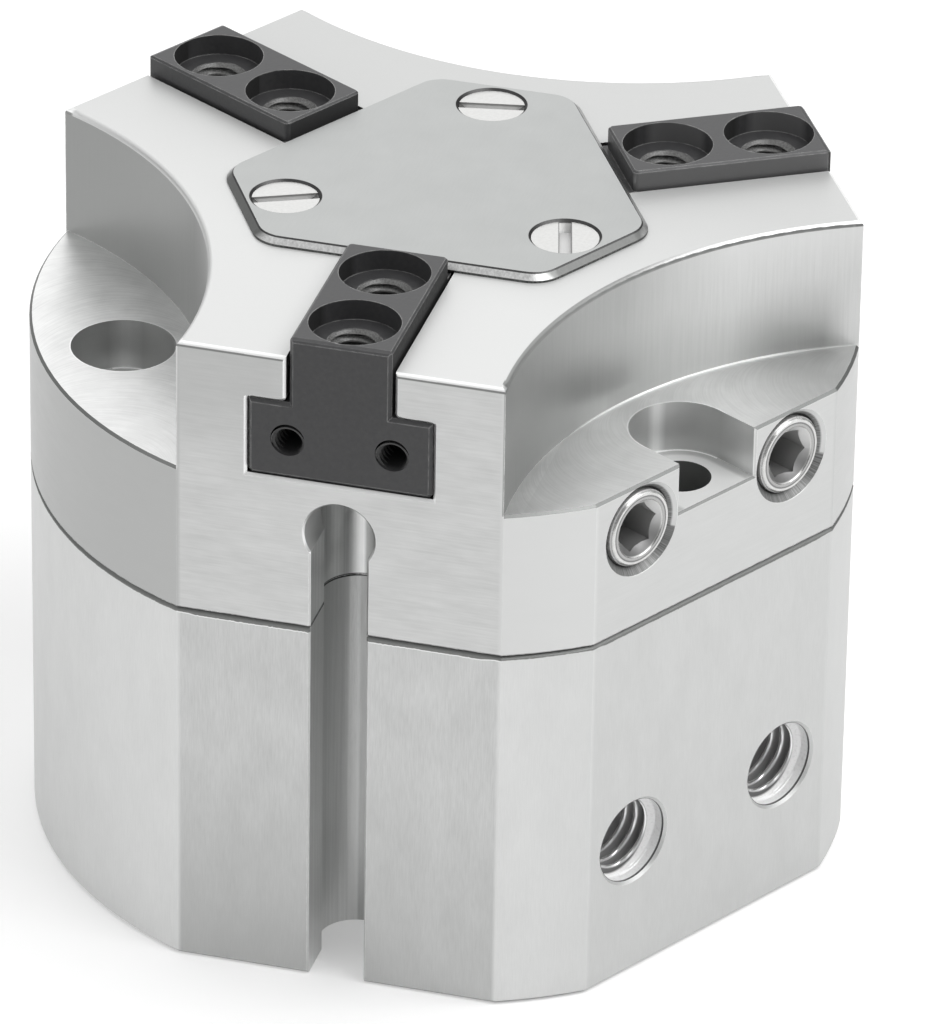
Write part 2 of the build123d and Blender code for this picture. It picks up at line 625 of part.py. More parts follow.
def end_cap():
    """Disc that closes the cylinder at the bottom."""
    part = disc(BORE_RADIUS - STATIC_GAP, RING_TOP_Z, END_CAP_TOP_Z)
    part -= o_ring_groove(BORE_RADIUS, (RING_TOP_Z + END_CAP_TOP_Z) / 2)
    return part - stop_ring_at(END_CAP_TOP_Z - STOP_RING_DEPTH, END_CAP_TOP_Z)


def stop_ring_at(bottom, top):
    """The space that a soft stop ring takes between two heights."""
    half_width = STOP_RING_WIDTH / 2
    return ring(STOP_RING_RADIUS - half_width, STOP_RING_RADIUS + half_width, bottom, top)


def retaining_ring():
    """Spring ring with two eyes, in the groove below the end cap."""
    outer = BORE_RADIUS + RING_GROOVE_DEPTH - RING_GAP
    inner = outer - RING_WIDTH
    opening = Polygon(
        (0, 0),
        (2 * outer, -2 * outer * sin(radians(RING_OPENING / 2))),
        (2 * outer, 2 * outer * sin(radians(RING_OPENING / 2))),
        align=None,
    )
    outline = Circle(outer) - Circle(inner) - opening
    for side in (-1, 1):
        eye_angle = side * (RING_OPENING / 2 + degrees(RING_EYE_DIAMETER / 2 / inner))
        outline += turned(eye_angle, Pos(X=inner) * Circle(RING_EYE_DIAMETER / 2))
        outline -= turned(eye_angle, Pos(X=inner) * Circle(RING_EYE_HOLE / 2))
    return turned(PORT_ANGLE, prism(outline, RING_INSET, RING_TOP_Z))


def rod_guide():
    """Disc that closes the cylinder at the top and guides the piston rod."""
    part = disc(GUIDE_RADIUS - STATIC_GAP, SHOULDER_Z, CARRIER_Z)
    part -= o_ring_groove(GUIDE_RADIUS, (SHOULDER_Z + CARRIER_Z) / 2)
    part -= disc(ROD_RADIUS + ROD_BORE_GAP, SHOULDER_Z, CARRIER_Z)
    part -= disc(ROD_SEAL_OUTER, ROD_SEAL_Z, ROD_SEAL_Z + ROD_SEAL_HEIGHT)
    part -= disc(ROD_BUSH_OUTER, ROD_BUSH_Z, CARRIER_Z)
    return part - stop_ring_at(SHOULDER_Z, SHOULDER_Z + STOP_RING_DEPTH)


def lever_carrier():
    """Ring in the cap's recess that holds the three levers and their pins."""
    radius = GUIDE_RADIUS - STATIC_GAP
    part = ring(CENTRE_BORE_RADIUS, radius, CARRIER_Z, RECESS_ROOF_Z)
    half_groove = CARRIER_AIR_GROOVE_HEIGHT / 2
    groove_floor = GUIDE_RADIUS - CARRIER_AIR_GROOVE_DEPTH
    part -= ring(groove_floor, radius, PLUG_Z - half_groove, PLUG_Z + half_groove)
    for angle in JAW_ANGLES:
        part -= turned(angle, lever_window(CARRIER_Z, RECESS_ROOF_Z))
        part -= turned(angle, cross_pin(LEVER_PIN_DIAMETER, 2 * GUIDE_RADIUS))
    return part


def cross_pin(diameter, length):
    """A round bar through the pivot of the lever that points along +X."""
    return Pos(PIVOT_RADIUS, 0, PIVOT_Z) * Rot(X=90) * Cylinder(diameter / 2, length)


def lever_pins():
    """Pivot pins, held by the carrier."""
    return [turned(angle, cross_pin(LEVER_PIN_DIAMETER, LEVER_PIN_LENGTH)) for angle in JAW_ANGLES]


def lever(angle):
    """Bell crank: the rod's groove lifts its inner end, and its upper end pushes the jaw out."""
    profile = Circle(LEVER_HUB_RADIUS)
    for turn, arm in ((0, LEVER_UPPER_ARM), (90, LEVER_LOWER_ARM)):
        bar = Polygon(
            (-LEVER_ROOT_WIDTH / 2, 0),
            (LEVER_ROOT_WIDTH / 2, 0),
            (LEVER_TIP_WIDTH / 2, arm),
            (-LEVER_TIP_WIDTH / 2, arm),
            align=None,
        )
        profile += Rot(Z=turn) * (bar + Pos(Y=arm) * Circle(LEVER_END_RADIUS))
    profile -= Circle(LEVER_PIN_DIAMETER / 2 + LEVER_PIN_GAP)
    pivot = Plane(origin=(PIVOT_RADIUS, 0, PIVOT_Z), x_dir=(1, 0, 0), z_dir=(0, -1, 0))
    at_rest = pivot * Rot(Z=LEVER_HALF_SWING) * profile
    return turned(angle, extrude(at_rest, amount=LEVER_THICKNESS / 2, both=True))


def piston_lower():
    """Lower half of the piston, with a seal groove and the magnet's seat."""
    part = disc(BORE_RADIUS - PISTON_BOSS_INSET, PISTON_Z, PISTON_Z + PISTON_BOSS_HEIGHT)
    part += disc(PISTON_RADIUS, PISTON_Z + PISTON_BOSS_HEIGHT, PISTON_SPLIT_Z)
    part -= seal_space(LOWER_SEAL_Z)
    part -= ring(MAGNET_INNER, BORE_RADIUS, MAGNET_Z, PISTON_SPLIT_Z)
    part -= disc(PISTON_SCREW_HEAD_DIAMETER / 2 + SCREW_SIDE_GAP, PISTON_Z, MAGNET_Z)
    return part - disc(PISTON_SCREW_DIAMETER / 2 + SCREW_SIDE_GAP, MAGNET_Z, PISTON_SPLIT_Z)


def piston_upper():
    """Upper half of the piston, centred on the rod's spigot."""
    boss_z = PISTON_TOP_Z - PISTON_BOSS_HEIGHT
    part = disc(PISTON_RADIUS, PISTON_SPLIT_Z, boss_z)
    part += disc(BORE_RADIUS - PISTON_BOSS_INSET, boss_z, PISTON_TOP_Z)
    part -= seal_space(UPPER_SEAL_Z)
    return part - disc(ROD_SPIGOT_DIAMETER / 2 + THREAD_GAP, PISTON_SPLIT_Z, PISTON_TOP_Z)


def seal_space(bottom):
    """The groove for a piston seal."""
    return ring(BORE_RADIUS - PISTON_SEAL_DEPTH, BORE_RADIUS, bottom, bottom + PISTON_SEAL_HEIGHT)


def piston_seals():
    """The two seals round the piston, a little below the bore's size."""
    seals = []
    for bottom in (LOWER_SEAL_Z, UPPER_SEAL_Z):
        top = bottom + PISTON_SEAL_HEIGHT
        seals.append(ring(BORE_RADIUS - PISTON_SEAL_DEPTH, BORE_RADIUS - SEAL_GAP, bottom, top))
    return seals


def piston_rod():
    """Rod with the groove that holds the levers' inner ends."""
    groove_bottom = ROD_GROOVE_Z - ROD_GROOVE_HALF_HEIGHT
    groove_top = ROD_GROOVE_Z + ROD_GROOVE_HALF_HEIGHT
    part = disc(ROD_SPIGOT_DIAMETER / 2, PISTON_TOP_Z - ROD_SPIGOT_LENGTH, PISTON_TOP_Z)
    part += disc(ROD_RADIUS, PISTON_TOP_Z, groove_bottom)
    part += disc(ROD_NECK_RADIUS, groove_bottom, groove_top)
    part += disc(ROD_FLANGE_RADIUS, groove_top, groove_top + ROD_FLANGE_HEIGHT)
    thread_end = MAGNET_Z + PISTON_SCREW_LENGTH + HOLE_END_GAP
    return part - disc(PISTON_SCREW_DIAMETER / 2, PISTON_TOP_Z - ROD_SPIGOT_LENGTH, thread_end)


def piston_screw():
    """Low-head socket screw that clamps both piston halves to the rod."""
    head_z = MAGNET_Z - PISTON_SCREW_HEAD_HEIGHT
    part = disc(PISTON_SCREW_HEAD_DIAMETER / 2, head_z, MAGNET_Z)
    part += disc(PISTON_SCREW_DIAMETER / 2 - THREAD_GAP, MAGNET_Z, MAGNET_Z + PISTON_SCREW_LENGTH)
    return part - Pos(Z=head_z) * Rot(X=180) * socket(PISTON_SCREW_SOCKET, PISTON_SCREW_HEAD_HEIGHT / 2)


def jaw(angle):
    """T-shaped jaw with two sleeve seats and threads on top, drawn along +X and turned to its place."""
    floor = SLOT_FLOOR_Z + JAW_SLIDE_GAP
    top = TOP_Z + JAW_RISE
    section = tee(
        SLOT_NECK_WIDTH - 2 * JAW_NECK_GAP,
        SLOT_HEAD_WIDTH - 2 * JAW_SLIDE_GAP,
        SLOT_HEAD_HEIGHT - 2 * JAW_SLIDE_GAP,
        top - floor,
    )
    lower_corners = section.vertices().filter_by_position(Axis.Y, 0, 0)
    section = chamfer(lower_corners, length=JAW_CORNER_BREAK)
    part = along_x(section, JAW_INNER_END, JAW_FLAT, floor)
    under_plate = Box(JAW_TOP_INNER_END, SLOT_HEAD_WIDTH, TOP_Z, align=(Align.MIN, Align.CENTER, Align.MIN))
    part -= Pos(Z=TOP_Z - 2 * JAW_SLIDE_GAP) * under_plate
    inner_edges = part.edges().filter_by(Axis.Z)
    inner_edges = inner_edges.filter_by_position(Axis.X, JAW_TOP_INNER_END, JAW_TOP_INNER_END)
    part = fillet(inner_edges, radius=JAW_INNER_ROUND)
    part = chamfer(part.edges().filter_by_position(Axis.X, JAW_FLAT, JAW_FLAT), length=JAW_END_BREAK)
    part = chamfer(part.faces().filter_by(Axis.Z).sort_by(Axis.Z)[-1].edges(), length=SHARP_BREAK)
    for inset in (JAW_SEAT_INSET, JAW_SEAT_INSET + JAW_SEAT_PITCH):
        part -= hole(JAW_SEAT_DIAMETER, JAW_FLAT - inset, 0, top - JAW_SEAT_DEPTH, top)
        part -= hole(
            JAW_THREAD_DIAMETER,
            JAW_FLAT - inset,
            0,
            top - JAW_SEAT_DEPTH - JAW_THREAD_DEPTH,
            top - JAW_SEAT_DEPTH,
        )
    middle = floor + SLOT_HEAD_HEIGHT / 2
    for side in (-1, 1):
        offset = side * JAW_END_HOLE_SPACING / 2
        part -= side_hole(JAW_END_HOLE_DIAMETER, JAW_FLAT, offset, middle, JAW_END_HOLE_DEPTH)
    upper_end = PIVOT_RADIUS - JAW_STROKE / 2
    pocket = Box(
        2 * JAW_POCKET_HALF_WIDTH,
        LEVER_SLOT_WIDTH,
        JAW_POCKET_TOP_Z - floor,
        align=STANDING,
    )
    part -= Pos(upper_end, 0, floor) * pocket
    return turned(angle, part)


def save(name, *solids):
    """Writes a piece, or a set of like pieces, as one STEP file."""
    pieces = [solid for shape in solids for solid in shape.solids()]
    shape = pieces[0] if len(pieces) == 1 else Compound(children=pieces)
    export_step(shape, f"parts/{name}.step")


os.makedirs("parts", exist_ok=True)
save("housing", housing())
save("guide_cap", guide_cap())
save("cover_plate", cover_plate())
save("cover_screws", *cover_screws())
save("port_plugs", *port_plugs())
save("body_screws", *body_screws())
save("locating_pins", *locating_pins())
save("end_cap", end_cap())
save("end_cap_o_ring", o_ring(BORE_RADIUS, (RING_TOP_Z + END_CAP_TOP_Z) / 2))
save("lower_stop_ring", stop_ring_at(END_CAP_TOP_Z - STOP_RING_DEPTH, END_CAP_TOP_Z + STOP_RING_RISE))
save("retaining_ring", retaining_ring())
save("rod_guide", rod_guide())
save("rod_guide_o_ring", o_ring(GUIDE_RADIUS, (SHOULDER_Z + CARRIER_Z) / 2))
save("upper_stop_ring", stop_ring_at(SHOULDER_Z - STOP_RING_RISE, SHOULDER_Z + STOP_RING_DEPTH))
save("rod_seal", ring(ROD_RADIUS + SEAL_GAP, ROD_SEAL_OUTER, ROD_SEAL_Z, ROD_SEAL_Z + ROD_SEAL_HEIGHT))
save("rod_bush", ring(ROD_RADIUS + ROD_GAP, ROD_BUSH_OUTER, ROD_BUSH_Z, CARRIER_Z))
save("lever_carrier", lever_carrier())
save("lever_pins", *lever_pins())
save("piston_lower", piston_lower())
save("piston_upper", piston_upper())
save("piston_magnet", ring(MAGNET_INNER, MAGNET_OUTER, MAGNET_Z, PISTON_SPLIT_Z))
save("piston_seals", *piston_seals())
save("piston_rod", piston_rod())
save("piston_screw", piston_screw())
for letter, jaw_angle in zip("abc", JAW_ANGLES):
    save(f"lever_{letter}", lever(jaw_angle))
    save(f"jaw_{letter}", jaw(jaw_angle))
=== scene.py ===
from collections import namedtuple
from math import cos, pi, radians, sin

import bpy
from mathutils import Matrix, Vector


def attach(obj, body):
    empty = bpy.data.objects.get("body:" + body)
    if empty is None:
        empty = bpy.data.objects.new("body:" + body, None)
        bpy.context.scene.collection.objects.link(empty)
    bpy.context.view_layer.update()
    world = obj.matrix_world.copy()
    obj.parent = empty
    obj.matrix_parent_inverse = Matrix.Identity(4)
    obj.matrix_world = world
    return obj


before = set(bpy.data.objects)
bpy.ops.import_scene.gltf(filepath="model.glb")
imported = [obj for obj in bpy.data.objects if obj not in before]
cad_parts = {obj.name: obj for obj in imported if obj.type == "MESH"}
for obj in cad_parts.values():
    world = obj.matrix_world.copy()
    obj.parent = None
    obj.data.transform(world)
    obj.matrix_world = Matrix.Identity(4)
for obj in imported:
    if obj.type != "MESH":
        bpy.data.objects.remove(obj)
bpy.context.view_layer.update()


# Housing: the lower body, turned and milled from bare aluminium bar. Its flats and its round side
# keep a short upright grain, and its broken edge at the joint with the cap is painted dark as shade.

MM = 0.001


def set_inputs(node, inputs):
    """Gives a node's inputs their values, or links them to other nodes' results."""
    for key, value in inputs.items():
        value = getattr(value, "socket", value)
        if isinstance(value, bpy.types.NodeSocket):
            node.id_data.links.new(value, node.inputs[key])
        else:
            node.inputs[key].default_value = value


def add_node(tree, kind, inputs=None, **settings):
    """A new node in a tree, with its settings and inputs."""
    made = tree.nodes.new(kind)
    for name, value in settings.items():
        setattr(made, name, value)
    set_inputs(made, inputs or {})
    return made


def reckon(operation, *amounts):
    """The result of one Math node, in the tree of the amounts that it reads."""
    tree = next(amount.tree for amount in amounts if isinstance(amount, Amount))
    return Amount(add_node(tree, "ShaderNodeMath", dict(enumerate(amounts)), operation=operation).outputs[0])


class Amount:
    """A number that a node gives. Plain sums with it add Math nodes; | takes the greater of two masks."""

    def __init__(self, socket):
        self.socket = socket
        self.tree = socket.id_data

    def __add__(self, other):
        return reckon("ADD", self, other)

    def __sub__(self, other):
        return reckon("SUBTRACT", self, other)

    def __rsub__(self, other):
        return reckon("SUBTRACT", other, self)

    def __mul__(self, other):
        return reckon("MULTIPLY", self, other)

    def __truediv__(self, other):
        return reckon("DIVIDE", self, other)

    def __or__(self, other):
        return reckon("MAXIMUM", self, other)

    def __lt__(self, other):
        return reckon("LESS_THAN", self, other)

    def __gt__(self, other):
        return reckon("GREATER_THAN", self, other)

    def __abs__(self):
        return reckon("ABSOLUTE", self)


def ramp(amount, low, high, to_low=0.0, to_high=1.0):
    """An amount brought from one range to another, held inside it."""
    inputs = {"Value": amount, "From Min": low, "From Max": high, "To Min": to_low, "To Max": to_high}
    return Amount(add_node(amount.tree, "ShaderNodeMapRange", inputs).outputs["Result"])


def near(amount, middle, outer, inner):
    """A mask round one amount: full within the inner distance from it, none past the outer one."""
    return ramp(abs(amount - middle), outer, inner)


def axis_gap(first, second):
    """The distance from an axis, from the two distances square to it."""
    return reckon("SQRT", first * first + second * second)


def between(mask, low, high):
    """An amount between two, by a mask."""
    return Amount(add_node(mask.tree, "ShaderNodeMix", {0: mask, 2: low, 3: high}).outputs[0])


def blend(mask, low, high):
    """A colour between two, by a mask. Each is a node's colour, or red, green and blue, or one grey level."""
    inputs = {0: mask}
    for key, colour in ((6, low), (7, high)):
        if isinstance(colour, float):
            colour = (colour,) * 3
        inputs[key] = (*colour, 1.0) if isinstance(colour, tuple) else colour
    return add_node(mask.tree, "ShaderNodeMix", inputs, data_type="RGBA").outputs[2]


def alu(level):
    """Bare aluminium's grey, with its trace of green."""
    return (level, level + 0.005, level)


Parts = namedtuple("Parts", "x y z")


def split(vector):
    """The three amounts in a vector."""
    return Parts(*map(Amount, add_node(vector.id_data, "ShaderNodeSeparateXYZ", {0: vector}).outputs))


def join(x, y=0.0, z=0.0):
    """A vector of three amounts."""
    return add_node(x.tree, "ShaderNodeCombineXYZ", {0: x, 1: y, 2: z}).outputs[0]


def start_group(name, inputs, outputs, kind="ShaderNodeTree"):
    """An empty node group with named sockets, what it is given, and the node for its results."""
    tree = bpy.data.node_groups.new(name, kind)
    for in_out, sockets in (("INPUT", inputs), ("OUTPUT", outputs)):
        for socket_name, socket_kind in sockets.items():
            tree.interface.new_socket(socket_name, in_out=in_out, socket_type="NodeSocket" + socket_kind)
    return tree, tree.nodes.new("NodeGroupInput").outputs, tree.nodes.new("NodeGroupOutput")


def tool_grain():
    """Streaks left by a tool: noise drawn out along the sizes that the grain has in X, Y and Z."""
    tree, given, result = start_group(
        "tool_grain", {"Vector": "Vector", "Grain Size": "Vector", "Detail": "Float"}, {"Streaks": "Float"}
    )
    sizes = {0: given["Vector"], 1: given["Grain Size"]}
    cells = add_node(tree, "ShaderNodeVectorMath", sizes, operation="DIVIDE").outputs[0]
    inputs = {"Vector": cells, "Scale": 1.0, "Detail": given["Detail"], "Roughness": 0.6}
    noise = add_node(tree, "ShaderNodeTexNoise", inputs).outputs["Fac"]
    set_inputs(result, {"Streaks": ramp(Amount(noise), 0.3, 0.7)})
    return tree


def worn_edges():
    """A mask of the narrow strips along a piece's edges, broken up as wear is."""
    tree, given, result = start_group(
        "worn_edges", {"Vector": "Vector", "Width": "Float", "Breaks": "Float"}, {"Wear": "Float"}
    )
    rounded = add_node(tree, "ShaderNodeBevel", {"Radius": given["Width"]}, samples=4)
    flat = add_node(tree, "ShaderNodeNewGeometry")
    normals = {0: rounded.outputs["Normal"], 1: flat.outputs["Normal"]}
    likeness = add_node(tree, "ShaderNodeVectorMath", normals, operation="DOT_PRODUCT").outputs["Value"]
    bent = ramp(Amount(likeness), 0.995, 0.86)
    spots = {"Vector": given["Vector"], "Scale": 1 / (0.6 * MM), "Detail": 3.0}
    breaks = add_node(tree, "ShaderNodeTexNoise", spots).outputs["Fac"]
    set_inputs(result, {"Wear": bent * ramp(Amount(breaks), given["Breaks"], 0.6)})
    return tree


def place_in_sector():
    """A point's place in the nearest of three like sectors round the body's axis."""
    tree, given, result = start_group(
        "place_in_sector",
        {"Vector": "Vector", "First Angle": "Float"},
        {"Outward": "Float", "Sideways": "Float", "Height": "Float"},
    )
    at = split(given["Vector"])
    reach = axis_gap(at.x, at.y)
    angle = reckon("ARCTAN2", at.y, at.x) - given["First Angle"]
    folded = reckon("WRAP", angle, pi / 3, -pi / 3)
    outward, sideways = reach * reckon("COSINE", folded), reach * reckon("SINE", folded)
    set_inputs(result, {"Outward": outward, "Sideways": sideways, "Height": at.z})
    return tree


GRAIN, WEAR, SECTOR = tool_grain(), worn_edges(), place_in_sector()


def use_group(group, vector, inputs):
    """The results of a node group, in the tree of the vector that it reads."""
    made = vector.id_data.nodes.new("ShaderNodeGroup")
    made.node_tree = group
    set_inputs(made, {"Vector": vector, **inputs})
    return [Amount(result) for result in made.outputs]


def grain(vector, size, detail):
    """The tool's streaks at a place, for a grain of one size or of three."""
    sizes = size if isinstance(size, tuple) else (size,) * 3
    return use_group(GRAIN, vector, {"Grain Size": sizes, "Detail": detail})[0]


def wear(vector, width, breaks):
    """The worn edges at a place."""
    return use_group(WEAR, vector, {"Width": width, "Breaks": breaks})[0]


def in_sector(vector, first_angle):
    """How far outward, sideways and up a point is in its sector."""
    return use_group(SECTOR, vector, {"First Angle": first_angle})


def start_material(name):
    """A material with one Principled shader, and the coordinates of its points."""
    made = bpy.data.materials.new(name)
    made.use_nodes = True
    tree = made.node_tree
    tree.nodes.clear()
    shader = tree.nodes.new("ShaderNodeBsdfPrincipled")
    add_node(tree, "ShaderNodeOutputMaterial", {"Surface": shader.outputs[0]})
    return made, shader, tree.nodes.new("ShaderNodeTexCoord").outputs


def raise_surface(shader, height, depth):
    """Fine relief on a surface, from a height."""
    bump = add_node(height.tree, "ShaderNodeBump", {"Height": height, "Distance": depth, "Strength": 1.0})
    set_inputs(shader, {"Normal": bump.outputs["Normal"]})


def dress(node_name, material):
    """Gives every face of a CAD node this material."""
    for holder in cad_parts[node_name].material_slots:
        holder.material = material


JAW_AXIS, PORT_AXIS = radians(-90), radians(-30)
JAW_FLAT, PORT_FLAT = 21.12 * MM, 21.03 * MM
BODY_RADIUS = 23.0 * MM
JOINT_Z = 22.3 * MM
CHANNEL_AXIS, CHANNEL_RADIUS, CHANNEL_NECK = 17.02 * MM, 2.13 * MM, 1.575 * MM
DRILLED_GRAIN = (0.16 * MM, 0.16 * MM, 12 * MM)


def on_round(from_axis):
    """A mask of the body's round side."""
    return ramp(from_axis, BODY_RADIUS - 0.1 * MM, BODY_RADIUS - 0.02 * MM)


def inside(gap, radius):
    """A mask of what lies within a radius, walls included."""
    return ramp(gap, radius + 0.06 * MM, radius + 0.02 * MM)


def in_channel(outward, sideways):
    """A mask of the upright sensor channels' walls."""
    in_bore = inside(axis_gap(outward - CHANNEL_AXIS, sideways), CHANNEL_RADIUS)
    before_flat = ramp(outward, JAW_FLAT - 0.09 * MM, JAW_FLAT - 0.11 * MM)
    past_axis = ramp(outward, CHANNEL_AXIS - 0.1 * MM, CHANNEL_AXIS)
    return in_bore | inside(abs(sideways), CHANNEL_NECK) * before_flat * past_axis


def in_streak(sideways, end):
    """A mask of the upright strip along a channel's wall that is painted bright as a highlight."""
    return ramp(sideways, -1.1 * MM, -1.0 * MM) * ramp(sideways, end, end - 0.15 * MM)


def on_lit_channel_lip(outward, sideways):
    """A mask of the lip along one side of a channel, on the flat, where a painted highlight goes."""
    return near(sideways, -CHANNEL_NECK, 0.08 * MM, 0.05 * MM) * (outward > JAW_FLAT - 0.02 * MM)


housing_metal, shader, place = start_material("housing_metal")
where = place["Object"]
facing, spot = split(place["Normal"]), split(where)
outward, sideways, height = in_sector(where, JAW_AXIS)
from_axis = axis_gap(outward, sideways)
strokes = grain(where, (0.07 * MM, 0.07 * MM, 0.9 * MM), 3.0)
patches = grain(where, (1.6 * MM, 1.6 * MM, 3.5 * MM), 2.0)
shades = patches * 0.35 + strokes * 0.65

# The flats and the round side. The front flat is more mottled, with painted shade towards its foot,
# and the round side has painted shade towards the right.
at_front = ramp(facing.y, -0.94, -0.98)
milled = blend(shades, alu(0.61), alu(0.685))
milled = blend(at_front, milled, blend(shades, alu(0.57), alu(0.725)))
foot_shade = at_front * ramp(height, 15 * MM, 2 * MM, 0.1, 0.55) * ramp(spot.x, 0.0, 5 * MM, 1.0, 0.7)
milled = blend(foot_shade, milled, alu(0.42))
turned = blend(shades, alu(0.7), alu(0.78))
turned = blend(ramp(spot.x, 10 * MM, 18 * MM) * 0.4, turned, alu(0.56))
bare = blend(on_round(from_axis), milled, turned)

# The sensor channels: painted shade at the top and deep inside, a painted highlight in a bright
# upright streak, and painted shade past it.
channel = in_channel(outward, sideways)
channel_shade = blend(grain(where, DRILLED_GRAIN, 3.0), alu(0.84), alu(0.97))
channel_shade = blend(ramp(height, 8 * MM, 20 * MM, 0.0, 0.35), channel_shade, alu(0.38))
deep_shade = ramp(sideways, -1.05 * MM, -1.25 * MM, 0.0, 0.2) * (outward < CHANNEL_AXIS + 1.4 * MM)
deep_shade = deep_shade * ramp(height, 2.5 * MM, 6 * MM)
channel_shade = blend(deep_shade, channel_shade, alu(0.38))
streak = in_streak(sideways, -0.45 * MM) * ramp(strokes, 0.0, 1.0, 0.45, 1.0)
channel_shade = blend(streak, channel_shade, alu(0.97))
channel_shade = blend(ramp(sideways, -0.55 * MM, -0.45 * MM, 0.0, 0.6), channel_shade, alu(0.5))
bare = blend(channel, bare, channel_shade)

# The broken edge at the joint, ragged and painted dark as shade,
# with a bright line beneath it at the front.
ragged = shades * (0.09 * MM) + height
ragged = ragged - ramp(from_axis, BODY_RADIUS - 0.4 * MM, BODY_RADIUS - 0.25 * MM, 0.02 * MM, 0.09 * MM)
beside_channel = 1.0 - channel
bright_line_below = at_front * ramp(ragged, JOINT_Z - 0.44 * MM, JOINT_Z - 0.42 * MM) * beside_channel
bare = blend(bright_line_below, bare, alu(0.92))
shaded_joint_edge = ramp(ragged, JOINT_Z - 0.38 * MM, JOINT_Z - 0.36 * MM) * beside_channel
bare = blend(shaded_joint_edge, bare, alu(0.22))
contact = ramp(channel * (0.06 * MM) + height, JOINT_Z - 0.07 * MM, JOINT_Z - 0.03 * MM)
bare = blend(contact, bare, 0.05)
# Worn edges, lightened partly as painted highlights. The channels' lips get a painted highlight.
bare = blend(wear(where, 0.07 * MM, 0.35) * (1.0 - shaded_joint_edge), bare, alu(0.9))
bare = blend(on_lit_channel_lip(outward, sideways), bare, 1.0)

finish = {
    "Base Color": bare,
    "Metallic": 1.0 - streak * channel * 0.5,
    "Roughness": ramp(strokes, 0.0, 1.0, 0.46, 0.56),
}
set_inputs(shader, finish)
raise_surface(shader, strokes, 0.002 * MM)
dress("housing", housing_metal)


# Air ports: tapped holes in the port flat. The thread is cut into the housing after drilling,
# so it is bare aluminium too, with a short countersink at its mouth.

PORT_SPACING, PORT_HEIGHT = 11.6 * MM, 8.36 * MM
PORT_RADIUS, PORT_THREAD_DEPTH = 2.5 * MM, 0.43 * MM
PORT_CREST = PORT_RADIUS - PORT_THREAD_DEPTH


def thread_lining_tree():
    """The wall of a tapped hole at each given point: a helical ridge, a cone at the mouth and a plain end."""
    tree, given, result = start_group(
        "thread_lining",
        {
            "Mouths": "Geometry",
            "Hole Radius": "Float",
            "Thread Depth": "Float",
            "Pitch": "Float",
            "Length": "Float",
            "Plain Lead": "Float",
            "Mouth Drop": "Float",
            "Rows": "Int",
            "Sides": "Int",
            "Turn": "Vector",
            "Material": "Material",
        },
        {"Lining": "Geometry"},
        "GeometryNodeTree",
    )
    rows, radius = Amount(given["Rows"]), Amount(given["Hole Radius"])
    grid = {"Size X": 1.0, "Size Y": 1.0, "Vertices X": given["Sides"], "Vertices Y": rows + 4.0}
    sheet = add_node(tree, "GeometryNodeMeshGrid", grid).outputs["Mesh"]

    # The grid's rows go down the thread, and the last three run back up behind it to close the wall.
    at = split(add_node(tree, "GeometryNodeInputPosition").outputs[0])
    around = at.x + 0.5
    row = reckon("ROUND", (at.y + 0.5) * (rows + 3.0))
    down = reckon("MINIMUM", row / rows, 1.0) * (row < rows + 1.5) * given["Length"]
    part_turn = reckon("FRACT", down / given["Pitch"] + around)
    peak = 1.0 - abs(part_turn * 2.0 - 1.0)
    ridge = reckon("MINIMUM", (peak * 1.45 - 0.15) | 0.0, 1.0)
    wall, behind = radius - 0.03 * MM, radius + 0.03 * MM
    cone = wall - ((down - given["Plain Lead"]) | 0.0)
    threaded = (wall - ridge * given["Thread Depth"]) | cone
    on_thread = (row < rows + 0.5) | (row > rows + 2.5)
    reach = on_thread * (threaded - behind) + behind
    angle = around * (2 * pi)
    depth = (down + given["Mouth Drop"]) * -1.0
    place = join(reach * reckon("COSINE", angle), reach * reckon("SINE", angle), depth)

    rolled = add_node(tree, "GeometryNodeSetPosition", {"Geometry": sheet, "Position": place})
    welded = {"Geometry": rolled.outputs[0], "Distance": 0.0005 * MM}
    closed = add_node(tree, "GeometryNodeMergeByDistance", welded)
    facing = add_node(tree, "FunctionNodeEulerToRotation", {0: given["Turn"]})
    copies = {"Points": given["Mouths"], "Instance": closed.outputs[0], "Rotation": facing.outputs[0]}
    placed = add_node(tree, "GeometryNodeInstanceOnPoints", copies)
    real = add_node(tree, "GeometryNodeRealizeInstances", {"Geometry": placed.outputs[0]})
    paint = {"Geometry": real.outputs[0], "Material": given["Material"]}
    set_inputs(result, {0: add_node(tree, "GeometryNodeSetMaterial", paint).outputs[0]})
    return tree


THREADS = thread_lining_tree()


def add_object(name, data):
    """A new object in the scene."""
    made = bpy.data.objects.new(name, data)
    bpy.context.scene.collection.objects.link(made)
    return made


def thread_linings(name, mouths, body, sizes):
    """One mesh of the threads in like holes, made by the lining tree at the holes' mouths."""
    points = bpy.data.meshes.new(name + "_mouths")
    points.from_pydata(mouths, [], [])
    holder = add_object(name + "_mouths", points)
    modifier = holder.modifiers.new("threads", "NODES")
    modifier.node_group = THREADS
    for item in THREADS.interface.items_tree:
        if item.in_out == "INPUT" and item.name in sizes:
            modifier[item.identifier] = sizes[item.name]
    view_layer = bpy.context.evaluated_depsgraph_get()
    mesh = bpy.data.meshes.new_from_object(holder.evaluated_get(view_layer))
    holder.modifiers.remove(modifier)
    bpy.data.objects.remove(holder)
    mesh.name = name
    piece = add_object(name, mesh)
    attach(piece, body)


def from_pair(sideways, height, pair_z):
    """How far sideways and up a point is from the nearer of the port flat's two holes at one height."""
    return abs(sideways) - PORT_SPACING / 2, height - pair_z


def point_at(angle, outward, sideways, height):
    """The point this far outward, sideways and up in the sector at an angle."""
    x, y = outward * cos(angle) - sideways * sin(angle), outward * sin(angle) + sideways * cos(angle)
    return x, y, height


